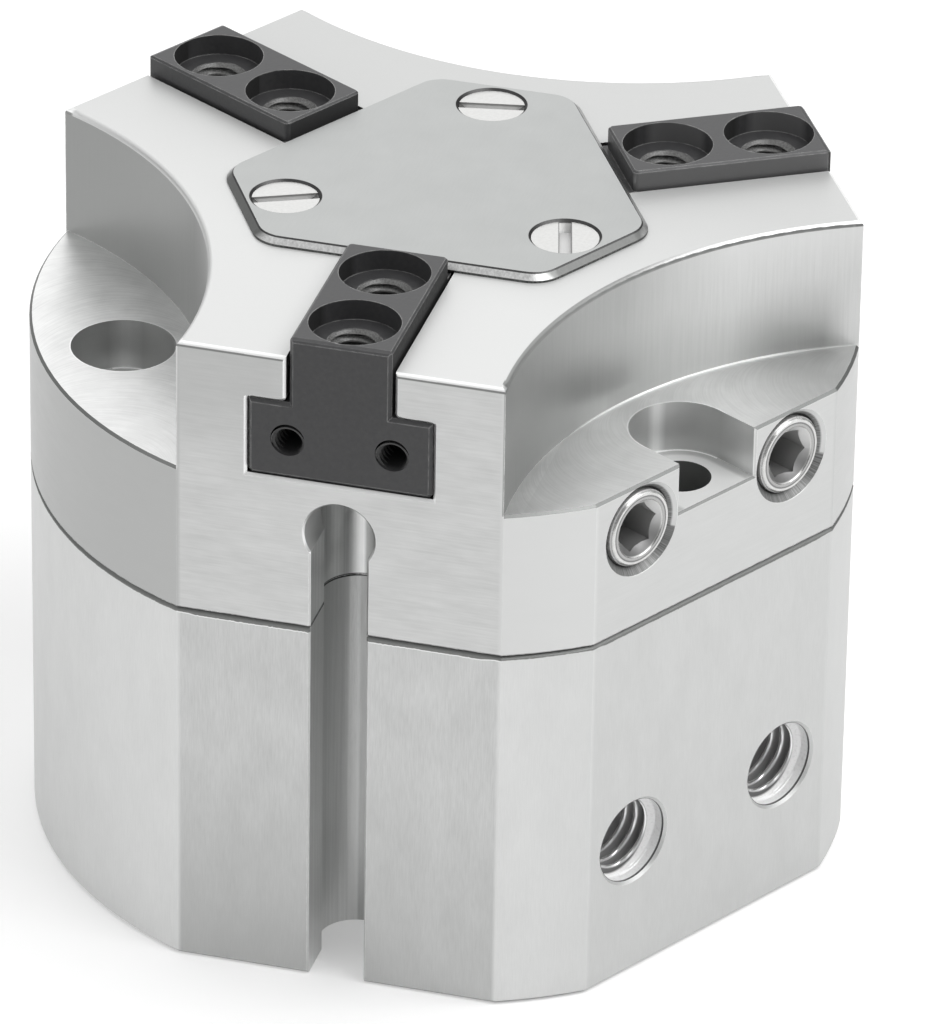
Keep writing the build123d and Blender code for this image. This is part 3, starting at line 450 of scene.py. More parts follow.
thread_metal, shader, place = start_material("thread_metal")
where = place["Object"]
outward, sideways, height = in_sector(where, PORT_AXIS)
port_gap = axis_gap(*from_pair(sideways, height, PORT_HEIGHT))
# Painted highlights on the crests and the lead, painted shade in the valleys, lighter deeper in.
crest = ramp(port_gap, PORT_CREST + 0.1 * MM, PORT_CREST + 0.02 * MM)
sunk = PORT_FLAT - outward
lead = ramp(sunk, 1.12 * MM, 1.06 * MM) * ramp(sunk, 0.24 * MM, 0.3 * MM)
lead = lead * ramp(grain(where, 0.15 * MM, 3.0), 0.0, 0.5, 0.86, 1.0)
valley_shade = blend(ramp(sunk, 1 * MM, 4 * MM), 0.12, 0.7)
finish = {
    "Base Color": blend(crest | lead, valley_shade, 1.0),
    "Metallic": crest * 0.7 + 0.2,
    "Roughness": ramp(lead, 0.0, 1.0, 0.3, 0.45),
}
set_inputs(shader, finish)

thread_linings(
    "port_threads",
    [point_at(PORT_AXIS, PORT_FLAT, side * PORT_SPACING / 2, PORT_HEIGHT) for side in (-1, 1)],
    "gripper_body",
    {
        "Hole Radius": PORT_RADIUS,
        "Thread Depth": PORT_THREAD_DEPTH,
        "Pitch": 0.8 * MM,
        "Length": 6.1 * MM,
        "Plain Lead": 0.6 * MM,
        "Mouth Drop": 0.15 * MM,
        "Rows": 96,
        "Sides": 97,
        "Turn": (0.0, pi / 2, PORT_AXIS),
        "Material": thread_metal,
    },
)


# Cylinder's lower end: a turned aluminium disc with its O-ring and a soft stop ring,
# held in the housing by a spring ring of dark oiled steel.

turned_metal, shader, place = start_material("turned_metal")
spot = split(place["Object"])
rings = grain(join(axis_gap(spot.x, spot.y), 0.0, spot.z), (0.06 * MM, 1.0, 0.06 * MM), 2.0)
finish = {
    "Base Color": blend(rings, alu(0.62), alu(0.76)),
    "Metallic": 1.0,
    "Roughness": ramp(rings, 0.0, 1.0, 0.26, 0.38),
}
set_inputs(shader, finish)
raise_surface(shader, rings, 0.002 * MM)
dress("end_cap", turned_metal)


def even_finish(name, size, detail, low, high, metallic, roughness):
    """A material whose shade, and roughness where it has two, change a little with one grain."""
    made, shader, place = start_material(name)
    grains = grain(place["Object"], size, detail)
    if isinstance(roughness, tuple):
        roughness = ramp(grains, 0.0, 1.0, *roughness)
    set_inputs(shader, {"Base Color": blend(grains, low, high), "Metallic": metallic, "Roughness": roughness})
    return made, shader, grains


black, worn_black = (0.024, 0.024, 0.025), (0.04, 0.04, 0.042)
seal_rubber = even_finish("seal_rubber", 0.5 * MM, 3.0, black, worn_black, 0.0, (0.45, 0.65))[0]
dress("end_cap_o_ring", seal_rubber)

blue, pale_blue = (0.09, 0.11, 0.18), (0.12, 0.14, 0.23)
stop_rubber = even_finish("stop_rubber", 0.4 * MM, 3.0, blue, pale_blue, 0.0, (0.42, 0.58))[0]
dress("lower_stop_ring", stop_rubber)

dark_steel, shader, place = start_material("dark_steel")
where = place["Object"]
haze = grain(where, 0.3 * MM, 3.0)
coat = blend(wear(where, 0.08 * MM, 0.35), blend(haze, 0.04, (0.062, 0.062, 0.06)), (0.2, 0.2, 0.195))
set_inputs(shader, {"Base Color": coat, "Roughness": ramp(haze, 0.0, 1.0, 0.32, 0.46)})
dress("retaining_ring", dark_steel)


# Piston: two turned aluminium halves round a ring magnet, with two rubber seals,
# clamped to the hardened rod by one socket screw.

for name in ("piston_lower", "piston_upper"):
    dress(name, turned_metal)
dress("piston_seals", seal_rubber)
dress("piston_screw", dark_steel)

magnet_shades = (0.09, 0.09, 0.092), (0.15, 0.15, 0.148)
magnet_body, shader, specks = even_finish("magnet_body", 0.15 * MM, 4.0, *magnet_shades, 0.0, 0.6)
raise_surface(shader, specks, 0.01 * MM)
dress("piston_magnet", magnet_body)

steel_shades = (0.48, 0.48, 0.47), (0.6, 0.6, 0.59)
ground_grain = (2.5 * MM, 2.5 * MM, 0.05 * MM)
ground_steel = even_finish("ground_steel", ground_grain, 2.0, *steel_shades, 1.0, (0.22, 0.34))[0]
dress("piston_rod", ground_steel)


# Rod guide: the turned disc that closes the cylinder at the top, with its O-ring, a soft stop ring,
# the rod's seal and a pressed bronze bush.

dress("rod_guide", turned_metal)
dress("rod_guide_o_ring", seal_rubber)
dress("upper_stop_ring", stop_rubber)
dress("rod_seal", seal_rubber)

bronze_shades = (0.5, 0.35, 0.19), (0.66, 0.48, 0.28)
dress("rod_bush", even_finish("bush_bronze", 0.12 * MM, 3.0, *bronze_shades, 1.0, (0.28, 0.45))[0])


# Lever drive: an aluminium carrier, with three hardened levers that turn on ground pins
# and push the jaws outward.

dress("lever_carrier", turned_metal)
for name in ("lever_pins", "lever_a", "lever_b", "lever_c"):
    dress(name, ground_steel)


# Guide cap: the upper body, milled from bare aluminium. A face mill left level lines on its flats,
# an end mill left upright streaks on the scallops' walls and arcs on the ledges.

SCALLOP_CENTRE, SCALLOP_RADIUS = 38.129 * MM, 24.0 * MM
LEDGE_Z, CAP_TOP_Z = 30.95 * MM, 38.65 * MM
SEAT_AXIS, SEAT_RADIUS, SEAT_Z = 18.25 * MM, 2.9 * MM, 27.95 * MM
SLOT_HEAD, SLOT_FLOOR_Z, SLOT_MOUTH = 5.175 * MM, 31.25 * MM, 0.15 * MM
EYE_Z, EYE_RADIUS = 28.1 * MM, 1.96 * MM
PLUG_Z, PLUG_RADIUS, PLUG_MOUTH_RADIUS = 28.1 * MM, 2.25 * MM, 2.75 * MM
SCREW_HOLE_RADIUS = 1.7 * MM
TOOL_RADIUS = 4.6 * MM

cap_metal, shader, place = start_material("cap_metal")
where = place["Object"]
facing, spot = split(place["Normal"]), split(where)
upward = ramp(facing.z, 0.6, 0.8)
sideward = 1.0 - upward
by_port_side = spot.x > 10 * MM

# Each scallop is seen from its own centre: the distance from it and the length along its wall.
outward, sideways, height = in_sector(where, PORT_AXIS)
from_centre = outward - SCALLOP_CENTRE
distance = axis_gap(from_centre, sideways)
along = reckon("ARCTAN2", sideways, from_centre * -1.0) * SCALLOP_RADIUS
on_wall = near(distance, SCALLOP_RADIUS, 0.12 * MM, 0.06 * MM) * (height > LEDGE_Z - 0.02 * MM) * sideward
on_ledge = upward * (height < LEDGE_Z + 0.1 * MM)
on_top = upward * (height > CAP_TOP_Z - 0.12 * MM)

# Each ledge has a round screw seat, and the one by the ports opens through the flat.
seat_gap = axis_gap(outward - SEAT_AXIS, sideways)
opening = inside(abs(sideways), SEAT_RADIUS) * (outward > SEAT_AXIS) * (outward < PORT_FLAT - 0.02 * MM)
seat_height = (height < LEDGE_Z - 0.01 * MM) * (height > SEAT_Z - 0.02 * MM)
in_seat = (inside(seat_gap, SEAT_RADIUS) | opening * by_port_side) * seat_height
seat_floor = in_seat * upward
screw_hole = (seat_gap < SCREW_HOLE_RADIUS + 0.06 * MM) * (height < SEAT_Z - 0.02 * MM)

# The marks that milling left on each face.
face_lines = grain(where, (3 * MM, 3 * MM, 0.13 * MM), 4.0)
face_marks = grain(where, (2.5 * MM, 2.5 * MM, 0.9 * MM), 2.0) * 0.45 + face_lines * 0.55
wall_streaks = grain(join(along, height), (0.2 * MM, 5 * MM, 1.0), 3.0)
off_path = distance - (SCALLOP_RADIUS - TOOL_RADIUS)
swept = along + reckon("SQRT", (off_path * (off_path * -1.0) + TOOL_RADIUS**2) | 0.0)
ledge_arcs = grain(join(swept, distance), (0.15 * MM, 3 * MM, 1.0), 2.0)
ledge_marks = grain(where, 1.8 * MM, 3.0) * 0.45 + ledge_arcs * 0.55
marks = between(upward, face_marks, grain(where, 0.12 * MM, 2.0))
marks = between(on_wall, marks, wall_streaks)
marks = between(on_ledge, marks, ledge_marks)

# The flats, the front one with stronger lines and painted shade in its upper left corner, and the round
# side, with painted shade on its left and its far right.
at_front = ramp(facing.y, -0.94, -0.98)
bare = blend(marks, alu(0.58), alu(0.625))
bare = blend(at_front, bare, blend(marks, alu(0.54), alu(0.67)))
upper_left_shade = ramp(height, 31 * MM, 36 * MM, 0.0, 0.45) * ramp(spot.x, 1 * MM, -4 * MM)
bare = blend(at_front * upper_left_shade, bare, alu(0.4))
round_side_shade = blend(ramp(spot.x, -6 * MM, 8 * MM), alu(0.48), alu(0.66))
round_side_shade = blend(ramp(spot.x, 14 * MM, 19 * MM), round_side_shade, alu(0.56))
bare = blend(on_round(axis_gap(spot.x, spot.y)), bare, round_side_shade)

# The scallops' walls: painted shade on the near half, darker on the left scallop, and painted light on
# the far half and higher up, with painted shade at the foot of both.
low_wall = ramp(height, 35.5 * MM, 31.5 * MM)
near_shade = blend(marks, alu(0.385), alu(0.425))
near_shade = blend(ramp(spot.x, -2 * MM, -6 * MM, 0.0, 0.6), near_shade, alu(0.32))
near_foot = low_wall * ramp(abs(along + 2 * MM), 0.0, 2.5 * MM, 0.2, 0.65) * (spot.x > 2 * MM)
near_shade = blend(near_foot, near_shade, alu(0.27))
far_shade = blend(marks, alu(0.56), alu(0.63))
far_shade = blend(ramp(height, 35.5 * MM, 38 * MM, 0.0, 0.5), far_shade, alu(0.74))
far_foot = low_wall * ramp(along, 6 * MM, 10 * MM, 0.3, 1.0) * ramp(along, 14 * MM, 12.6 * MM)
far_shade = blend(far_foot, far_shade, alu(0.34))
bare = blend(on_wall, bare, blend(ramp(along, -0.5 * MM, 7 * MM), near_shade, far_shade))

# The ledges, painted lighter on the left than by the ports and with painted shade at the port ledge's
# far end, and the top, with painted shade towards the back.
port_ledge = blend(marks, alu(0.74), alu(0.87))
port_ledge = blend(ramp(along, 5 * MM, 12 * MM, 0.0, 0.35), port_ledge, alu(0.5))
bare = blend(on_ledge, bare, blend(by_port_side, blend(marks, alu(0.74), alu(0.94)), port_ledge))
back_shade = ramp(spot.x * 0.35 + spot.y, -10 * MM, 8 * MM)
bare = blend(on_top, bare, blend(back_shade, alu(0.69), alu(0.583)))

# The screw seats: painted highlights in two streaks on the wall and on the open seat's wall, painted
# shade in a ring on the floor near the wall, painted highlights on the rim and foot, and painted shade
# in the screw hole.
seat_swing = reckon("ARCTAN2", sideways, SEAT_AXIS - outward)
open_wall = ramp(outward, SEAT_AXIS + 0.2 * MM, SEAT_AXIS + 2 * MM) * by_port_side
lit_wall = near(seat_swing, 0.31, 0.2, 0.05) | near(seat_swing, -1.31, 0.34, 0.06) | open_wall
bare = blend(in_seat, bare, blend(lit_wall, alu(0.57), alu(0.84)))
bare = blend(seat_floor, bare, alu(0.72))
past_axis = (outward - SEAT_AXIS) | 0.0
to_wall = reckon("SQRT", (seat_gap * seat_gap - past_axis * past_axis) | 0.0)
bare = blend(seat_floor * ramp(to_wall, 2.25 * MM, 2.5 * MM, 0.0, 0.65), bare, alu(0.4))
seat_foot = seat_floor * ramp(seat_gap, SEAT_RADIUS - 0.12 * MM, SEAT_RADIUS - 0.08 * MM)
seat_foot = seat_foot * (outward < SEAT_AXIS)
seat_rim = near(seat_gap, SEAT_RADIUS + 0.02 * MM, 0.07 * MM, 0.04 * MM)
seat_rim = seat_rim * on_ledge * (height > LEDGE_Z - 0.1 * MM)
bare = blend(seat_rim | seat_foot, bare, 1.0)
bare = blend(screw_hole, bare, alu(0.2))

# The sensor channels' upper ends, each drilled up into a round eye. A weak painted highlight marks
# the streak and painted shade darkens the wall past it.
jaw_out, jaw_side, _ = in_sector(where, JAW_AXIS)
channel = in_channel(jaw_out, jaw_side) * (height < EYE_Z)
eye_gap = axis_gap(jaw_side, height - EYE_Z)
in_eye = ramp(eye_gap, EYE_RADIUS + 0.04 * MM, EYE_RADIUS + 0.01 * MM) * (jaw_out < JAW_FLAT - 0.12 * MM)
eye_left = in_eye * ramp(jaw_side, -1.25 * MM, -1.4 * MM)
channel_shade = blend(grain(where, DRILLED_GRAIN, 3.0), alu(0.72), alu(0.9))
channel_shade = blend(in_streak(jaw_side, -0.2 * MM) * 0.2, channel_shade, alu(0.95))
channel_shade = blend(ramp(jaw_side, -0.36 * MM, -0.18 * MM, 0.0, 0.8), channel_shade, alu(0.36))
channel_shade = blend(eye_left, channel_shade, alu(0.72))
bare = blend(channel | in_eye, bare, channel_shade)

# The thread's start round each plug: teeth below, dark partly as painted shade, a lip above painted
# light like the flat, and a dark line of painted shade inside.
plug_side, plug_up = from_pair(sideways, height, PLUG_Z)
plug_gap = axis_gap(plug_side, plug_up)
round_plug = reckon("ARCTAN2", plug_up, plug_side) * (PLUG_MOUTH_RADIUS - 0.15 * MM)
teeth = grain(join(round_plug), (0.09 * MM, 1.0, 1.0), 1.0)
lower_half = near(reckon("ARCTAN2", plug_up, plug_side * reckon("SIGN", sideways)), -1.64, 1.35, 1.3)
outer_lip = ramp(plug_gap, PLUG_MOUTH_RADIUS - 0.25 * MM, PLUG_MOUTH_RADIUS - 0.17 * MM)
outer_lip = outer_lip * (1.0 - lower_half)
teeth_shade = blend(outer_lip, blend(teeth, 0.1, alu(0.36)), alu(0.75))
inner_line = ramp(plug_gap, PLUG_RADIUS + 0.13 * MM, PLUG_RADIUS + 0.09 * MM)
teeth_shade = blend(inner_line, teeth_shade, 0.05)
in_mouth = ramp(plug_gap, PLUG_MOUTH_RADIUS + 0.03 * MM, PLUG_MOUTH_RADIUS - 0.01 * MM)
in_mouth = in_mouth * (outward < PORT_FLAT - 0.01 * MM) * by_port_side
bare = blend(in_mouth, bare, teeth_shade)

# The line at the joint, painted highlights on the T-slots' mouths, the worn edges, lightened partly
# as painted highlights, and painted highlights on the channels' lips and the eyes' rims.
contact = ramp(channel * (-0.04 * MM) + height, JOINT_Z + 0.05 * MM, JOINT_Z + 0.03 * MM)
bare = blend(contact, bare, 0.08)
slot_mouth = reckon("COMPARE", jaw_out, JAW_FLAT - 0.5 * SLOT_MOUTH, 0.46 * SLOT_MOUTH)
slot_mouth = slot_mouth * (abs(jaw_side) < SLOT_HEAD + SLOT_MOUTH) * (height > SLOT_FLOOR_Z - SLOT_MOUTH)
bare = blend(slot_mouth * sideward, bare, alu(0.95))
bare = blend(wear(where, 0.08 * MM, 0.25), bare, alu(0.92))
lip = on_lit_channel_lip(jaw_out, jaw_side) * (height < EYE_Z - 1.2 * MM)
eye_rim = ramp(eye_gap, EYE_RADIUS + 0.12 * MM, EYE_RADIUS + 0.08 * MM) * (jaw_out > JAW_FLAT - 0.11 * MM)
eye_rim = eye_rim * ramp(jaw_side, -1.2 * MM, -1.5 * MM)
eye_rim = eye_rim * ramp(height, EYE_Z + 0.8 * MM, EYE_Z - 0.6 * MM)
bare = blend(lip | eye_rim, bare, 1.0)

# Painted shade on the broken edges of the ledges and of the open seat, and a painted highlight
# along the walls' foot.
leaning = ramp(facing.z, 0.3, 0.45) * ramp(facing.z, 0.95, 0.85)
ledge_edge = reckon("COMPARE", height, LEDGE_Z - 0.075 * MM, 0.08 * MM)
seat_edge = reckon("COMPARE", height, SEAT_Z - 0.06 * MM, 0.07 * MM) * (outward > PORT_FLAT - 0.2 * MM)
bare = blend(leaning * (ledge_edge | seat_edge), bare, alu(0.23))
foot = on_wall * (height < LEDGE_Z + 0.1 * MM) * ramp(along, 12 * MM, 9 * MM, 0.3, 1.0)
foot = foot * ramp(along, -5 * MM, 1 * MM) * (by_port_side * 0.7 + 0.3)
bare = blend(foot, bare, alu(0.97))

# The rounded top edge: painted shade and a painted highlight along the scallops, and a painted highlight
# above a line of painted shade on the flats.
at_top_edge = height > CAP_TOP_Z - 0.31 * MM
by_flat = ramp(jaw_out, JAW_FLAT - 0.6 * MM, JAW_FLAT - 0.4 * MM)
not_level = ramp(facing.z, 0.99, 0.96)
not_upright = ramp(facing.z, 0.06, 0.14)
upper_round = ramp(facing.z, 0.45, 0.55) * not_level
port_rim = blend(upper_round * ramp(along, 0.0, 7 * MM), alu(0.34), alu(0.85))
scallop_rim = not_upright * not_level * (at_top_edge * (1.0 - by_flat))
bare = blend(scallop_rim, bare, blend(spot.x < 0.0, port_rim, alu(0.66)))
flat_edge = at_top_edge * by_flat
bare = blend(upper_round * flat_edge, bare, alu(0.97))
bare = blend(not_upright * ramp(facing.z, 0.5, 0.4) * flat_edge, bare, alu(0.3))

scattered = seat_floor | on_top | eye_left | screw_hole | in_mouth
broad = ramp(marks, 0.0, 1.0, 0.3, 0.38) + (on_top | on_ledge) * 0.08 + in_seat * 0.16 + on_wall * 0.05
set_inputs(shader, {"Base Color": bare, "Metallic": 1.0 - scattered * 0.6, "Roughness": broad})
raise_surface(shader, marks, 0.002 * MM)
dress("guide_cap", cap_metal)


# Port plugs: hexagon-socket plugs of bright zinc-plated steel, screwed into the cap's side holes.
# The dish round the socket and the socket itself carry painted shade, darker towards their lower side,
# and the side of the plug's rim is painted light, with a dark line of painted shade next to its face.

PLUG_FACE = PORT_FLAT - 0.08 * MM
DISH_RADIUS, SOCKET_REACH, FACE_LINE_RADIUS = 1.72 * MM, 1.5 * MM, 1.9 * MM

plug_steel, shader, place = start_material("plug_steel")
where = place["Object"]
outward, sideways, height = in_sector(where, PORT_AXIS)
plug_side, plug_up = from_pair(sideways, height, PLUG_Z)
plug_gap = axis_gap(plug_side, plug_up)
sunk = PLUG_FACE - outward
blotches = grain(where, 0.5 * MM, 2.0)
plating = blend(blotches, (0.6, 0.6, 0.59), (0.72, 0.72, 0.71))
# Painted shade in the dish and the socket, darker towards their lower side.
from_below = ramp(plug_up, -1.6 * MM, 1.2 * MM)
in_dish = ramp(sunk, 0.04 * MM, 0.1 * MM) * (plug_gap < DISH_RADIUS + 0.08 * MM)
plating = blend(in_dish, plating, blend(from_below, 0.19, (0.75, 0.75, 0.745)))
on_face = sunk < 0.03 * MM
inner_face = ramp(plug_gap, FACE_LINE_RADIUS + 0.02 * MM, FACE_LINE_RADIUS - 0.02 * MM) * on_face
plating = blend(inner_face, plating, (0.42, 0.42, 0.415))
plating = blend(near(plug_gap, FACE_LINE_RADIUS, 0.06 * MM, 0.03 * MM) * on_face, plating, 0.22)
in_socket = ramp(sunk, 0.44 * MM, 0.5 * MM) * (plug_gap < SOCKET_REACH)
plating = blend(in_socket, plating, blend(from_below, 0.13, (0.48, 0.48, 0.475)))
# Painted light on the side of the plug's rim, with a line of painted shade next to its face.
at_rim = ramp(plug_gap, PLUG_RADIUS - 0.15 * MM, PLUG_RADIUS - 0.05 * MM)
beside = at_rim * ramp(sunk, 0.02 * MM, 0.06 * MM)
plating = blend(beside, plating, (0.62, 0.62, 0.615))
plating = blend(beside * ramp(sunk, 0.12 * MM, 0.08 * MM), plating, 0.2)
finish = {
    "Base Color": plating,
    "Metallic": 1.0 - (in_socket | beside * 0.8) * 0.85,
    "Roughness": ramp(blotches, 0.0, 1.0, 0.2, 0.3) + in_dish * 0.25,
}
set_inputs(shader, finish)
dress("port_plugs", plug_steel)


# Jaws: T-shaped slides of hardened steel with a black oxide finish, ground on top.
# Each has two tapped seats on top and two tapped holes in its end.

JAW_ANGLES = {"a": -90, "b": 30, "c": 150}
SEAT_FLOOR_Z = 38.6 * MM
SEAT_INSETS = (2.8 * MM, 8.6 * MM)
END_HOLE_OFFSET, END_HOLE_Z, END_HOLE_RADIUS = 2.9 * MM, 33.4 * MM, 0.95 * MM

jaw_black, shader, place = start_material("jaw_black")
where = place["Object"]
facing, spot = split(place["Normal"]), split(where)
outward, sideways, height = in_sector(where, JAW_AXIS)
haze = grain(where, 0.25 * MM, 4.0)
coat = blend(haze, (0.038, 0.038, 0.04), (0.05, 0.05, 0.051))
# Painted light on the front-facing side of the right jaw, and painted shade on faces turned to +X.
lit_side = ramp(facing.y, -0.7, -0.85) * ramp(spot.x, 8 * MM, 9 * MM)
coat = blend(lit_side, coat, (0.11, 0.11, 0.111))
in_shade = ramp(facing.x, 0.8, 0.9)
coat = blend(in_shade, coat, 0.012)
hole_gap = axis_gap(abs(sideways) - END_HOLE_OFFSET, height - END_HOLE_Z)
edges = wear(where, 0.1 * MM, 0.25) * (hole_gap > END_HOLE_RADIUS + 0.35 * MM)
coat = blend(edges, coat, (0.34, 0.34, 0.335))
set_inputs(shader, {"Base Color": coat, "Roughness": ramp(haze, 0.0, 1.0, 0.3, 0.42) + in_shade * 0.35})
raise_surface(shader, haze, 0.003 * MM)

jaw_thread = even_finish("jaw_thread", 0.1 * MM, 2.0, 0.08, (0.2, 0.2, 0.195), 0.0, 0.3)[0]
end_thread = even_finish("end_thread", 0.1 * MM, 2.0, 0.045, 0.08, 0.0, 0.5)[0]

for letter, degrees_round in JAW_ANGLES.items():
    dress("jaw_" + letter, jaw_black)
    angle = radians(degrees_round)
    thread_linings(
        "jaw_" + letter + "_seat_threads",
        [point_at(angle, JAW_FLAT - inset, 0.0, SEAT_FLOOR_Z) for inset in SEAT_INSETS],
        "jaw_" + letter + "_body",
        {
            "Hole Radius": 1.5 * MM,
            "Thread Depth": 0.27 * MM,
            "Pitch": 0.5 * MM,
            "Length": 5.8 * MM,
            "Plain Lead": 0.0,
            "Mouth Drop": 0.02 * MM,
            "Rows": 120,
            "Sides": 49,
            "Turn": (0.0, 0.0, 0.0),
            "Material": jaw_thread,
        },
    )
    thread_linings(
        "jaw_" + letter + "_end_threads",
        [point_at(angle, JAW_FLAT, side * END_HOLE_OFFSET, END_HOLE_Z) for side in (-1, 1)],
        "jaw_" + letter + "_body",
        {
            "Hole Radius": END_HOLE_RADIUS,
            "Thread Depth": 0.17 * MM,
            "Pitch": 0.4 * MM,
            "Length": 3.2 * MM,
            "Plain Lead": 0.0,
            "Mouth Drop": 0.05 * MM,
            "Rows": 80,
            "Sides": 37,
            "Turn": (0.0, pi / 2, angle),
            "Material": end_thread,
        },
    )


# Cover plate: thin ground steel, held by three slotted countersunk screws of bright steel.
# Its edge is sheared and dark, with a broken corner that has a painted highlight towards the jaws.

PLATE_TOP_Z = 39.15 * MM
PLATE_JAW_EDGE = 9.44 * MM
SCREW_AXIS, SCREW_SEAT_RADIUS = 9.129 * MM, 2.0 * MM
SLOT_HALF, SLOT_TURN = 0.325 * MM, radians(75)

plate_steel, shader, place = start_material("plate_steel")
where = place["Object"]
facing = split(place["Normal"])
brushed = grain(where, (0.1 * MM, 1.2 * MM, 1.0), 3.0)
shades = grain(where, 3 * MM, 2.0) * 0.4 + brushed * 0.6
ground = blend(shades, (0.445, 0.455, 0.45), (0.5, 0.51, 0.505))
sheared = grain(where, (0.12 * MM, 0.12 * MM, 2 * MM), 3.0)
on_side = ramp(facing.z, 0.5, 0.3)
on_slope = ramp(facing.z, 0.95, 0.9) * (1.0 - on_side)
jaw_out, _, height = in_sector(where, JAW_AXIS)
# Painted highlight on the broken corner towards the jaws.
by_jaw = ramp(jaw_out, PLATE_JAW_EDGE - 0.8 * MM, PLATE_JAW_EDGE - 0.38 * MM)
slope_shade = blend(sheared * 0.5, blend(by_jaw, alu(0.18), alu(0.72)), 0.22)
ground = blend(on_slope, ground, slope_shade)
ground = blend(on_side, ground, blend(sheared, 0.05, alu(0.16)))
ground = blend(on_slope * (height > PLATE_TOP_Z - 0.08 * MM), ground, 0.08)
screw_out, screw_side, _ = in_sector(where, PORT_AXIS)
screw_gap = axis_gap(screw_out - SCREW_AXIS, screw_side)
in_seat = ramp(screw_gap, SCREW_SEAT_RADIUS + 0.02 * MM, SCREW_SEAT_RADIUS - 0.01 * MM)
# Painted shade in the screws' countersinks, darkest in the ring just below the top.
seat_rim = ramp(height, PLATE_TOP_Z - 0.2 * MM, PLATE_TOP_Z - 0.16 * MM)
ground = blend(in_seat, ground, blend(seat_rim, (0.4, 0.4, 0.395), 0.07))
# Worn top edges, lightened partly as painted highlights.
edges = wear(where, 0.04 * MM, 0.3) * ramp(facing.z, 0.9, 0.95) * (1.0 - in_seat)
ground = blend(edges, ground, (0.85, 0.86, 0.855))
finish = {"Base Color": ground, "Metallic": 1.0, "Roughness": ramp(brushed, 0.0, 1.0, 0.32, 0.42)}
set_inputs(shader, finish)
raise_surface(shader, brushed, 0.001 * MM)
dress("cover_plate", plate_steel)

screw_steel, shader, place = start_material("screw_steel")
where = place["Object"]
facing, spot = split(place["Normal"]), split(where)
drop = PLATE_TOP_Z - 0.12 * MM - spot.z
turned = grain(where, 0.2 * MM, 3.0)
in_slot = ramp(drop, 0.01 * MM, 0.04 * MM)
head = blend(in_slot, blend(turned, (0.64, 0.64, 0.63), (0.72, 0.72, 0.71)), (0.68, 0.68, 0.675))
# Painted shade along the slot's upper edges.
slot_lip = ramp(facing.z, 0.6, 0.4) * ramp(drop, 0.16 * MM, 0.1 * MM)
head = blend(slot_lip * in_slot, head, (0.3, 0.3, 0.295))

# Two thin dark lines of painted shade beside the front screw's slot.
front_x, front_y, _ = point_at(PORT_AXIS, SCREW_AXIS, 0.0, 0.0)
across = (spot.x - front_x) * sin(SLOT_TURN) + (spot.y - front_y) * cos(SLOT_TURN)
beside_slot = reckon("COMPARE", abs(across), SLOT_HALF + 0.02 * MM, 0.03 * MM) * (spot.x > 4 * MM)
finish = {
    "Base Color": blend(beside_slot, head, 0.22),
    "Metallic": 1.0 - in_slot * 0.6,
    "Roughness": ramp(turned, 0.0, 1.0, 0.28, 0.38),
}
set_inputs(shader, finish)
dress("cover_screws", screw_steel)


# Body screws and locating pins: black socket screws put in from below,
# and ground pins that line the cap up on the housing.

dress("body_screws", dark_steel)
dress("locating_pins", ground_steel)


# Studio: a pale floor, a soft pale surround, three soft lamps and the camera.
# The floor's glow makes the ground white for the camera and pale in the metal, and lights nothing else.

FLOOR_HALF = 3.0
corners = [(x * FLOOR_HALF, y * FLOOR_HALF, 0) for x, y in ((-1, -1), (1, -1), (1, 1), (-1, 1))]
floor_mesh = bpy.data.meshes.new("studio_floor")
floor_mesh.from_pydata(corners, [], [(0, 1, 2, 3)])
floor = add_object("studio_floor", floor_mesh)
floor_paint = bpy.data.materials.new("floor_paint")
floor_paint.use_nodes = True
tree = floor_paint.node_tree
tree.nodes.clear()
matt = add_node(tree, "ShaderNodeBsdfDiffuse", {"Color": (0.8, 0.8, 0.8, 1.0)})
rays = add_node(tree, "ShaderNodeLightPath").outputs
mirrored = Amount(rays["Is Glossy Ray"]) | rays["Is Transmission Ray"]
glowing = mirrored * 0.12 + Amount(rays["Is Camera Ray"]) * 0.26
glow = add_node(tree, "ShaderNodeEmission", {"Color": (1.0, 1.0, 1.0, 1.0), "Strength": glowing})
both = add_node(tree, "ShaderNodeAddShader", {0: matt.outputs[0], 1: glow.outputs[0]})
add_node(tree, "ShaderNodeOutputMaterial", {"Surface": both.outputs[0]})
floor_mesh.materials.append(floor_paint)


def direction(azimuth, elevation):
    """The direction at two angles in degrees, round the upright axis and above the floor."""
    a, e = radians(azimuth), radians(elevation)
    return Vector((cos(a) * cos(e), sin(a) * cos(e), sin(e)))


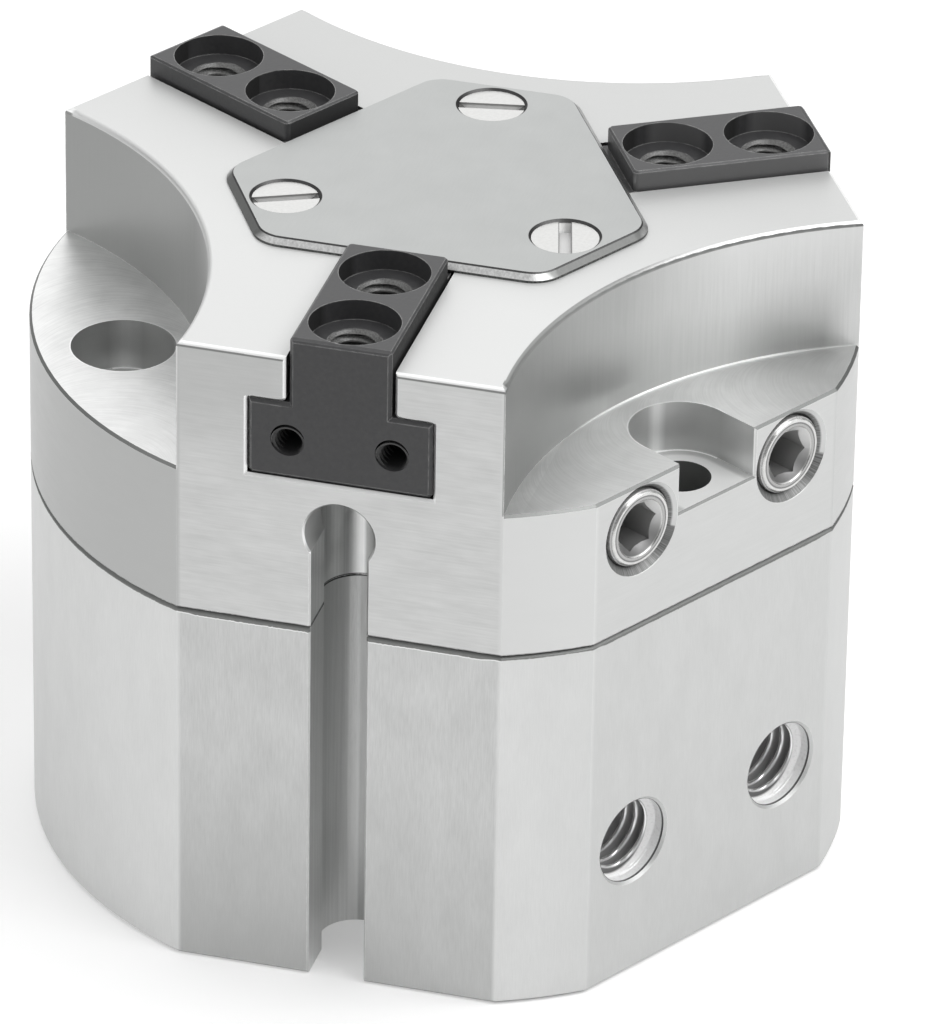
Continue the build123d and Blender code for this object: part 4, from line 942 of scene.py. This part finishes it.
surround = bpy.data.worlds.new("studio_surround")
surround.use_nodes = True
tree = surround.node_tree
tree.nodes.clear()
sky_direction = add_node(tree, "ShaderNodeTexCoord").outputs["Generated"]
level = 0.36
for azimuth, elevation, sharpness, strength in (
    (120, 55, 8.0, 0.57),
    (130, 25, 6.0, 0.33),
    (225, 25, 6.0, 1.2),
    (0, 90, 14.0, 1.3),
    (-110, 35, 3.0, -0.22),
):
    pair = {0: sky_direction, 1: direction(azimuth, elevation)}
    towards = Amount(add_node(tree, "ShaderNodeVectorMath", pair, operation="DOT_PRODUCT").outputs["Value"])
    level = reckon("POWER", towards | 0.0, sharpness) * strength + level
sky = add_node(tree, "ShaderNodeBackground", {"Color": (1.0, 1.0, 1.0, 1.0), "Strength": level})
add_node(tree, "ShaderNodeOutputWorld", {"Surface": sky.outputs[0]})
bpy.context.scene.world = surround

for name, azimuth, elevation, distance, size, watts in (
    ("key_lamp", -10, 60, 0.3, 0.2, 0.43),
    ("back_lamp", 105, 32, 0.3, 0.2, 0.06),
    ("side_lamp", 25, 35, 0.22, 0.12, 0.04),
):
    lamp = bpy.data.lights.new(name, "AREA")
    lamp.shape, lamp.size, lamp.energy = "SQUARE", size, watts
    holder = add_object(name, lamp)
    away = direction(azimuth, elevation)
    holder.location = away * distance
    holder.rotation_mode = "QUATERNION"
    holder.rotation_quaternion = away.to_track_quat("Z", "Y")

AIM = Vector((0, 0, 16.91 * MM))
CAMERA_AZIMUTH, CAMERA_ELEVATION, CAMERA_ROLL = 15.084, 30.056, radians(0.885)
CAMERA_DISTANCE, SHIFT_RIGHT, SHIFT_UP = 0.5249, 1.116 * MM, 0.936 * MM
back = direction(CAMERA_AZIMUTH - 90, CAMERA_ELEVATION)
level_right = direction(CAMERA_AZIMUTH, 0)
level_up = back.cross(level_right)
right = level_right * cos(CAMERA_ROLL) + level_up * sin(CAMERA_ROLL)
up = level_up * cos(CAMERA_ROLL) - level_right * sin(CAMERA_ROLL)
position = AIM + back * CAMERA_DISTANCE + right * SHIFT_RIGHT + up * SHIFT_UP
camera_data = bpy.data.cameras.new("camera")
camera_data.lens = 329.35
camera_data.sensor_width = 36.0
camera_data.clip_start, camera_data.clip_end = 0.01, 20.0
camera = add_object("camera", camera_data)
camera.matrix_world = Matrix(
    (
        (right.x, up.x, back.x, position.x),
        (right.y, up.y, back.y, position.y),
        (right.z, up.z, back.z, position.z),
        (0, 0, 0, 1),
    )
)
bpy.context.scene.camera = camera
bpy.context.scene.view_settings.view_transform = "Standard"
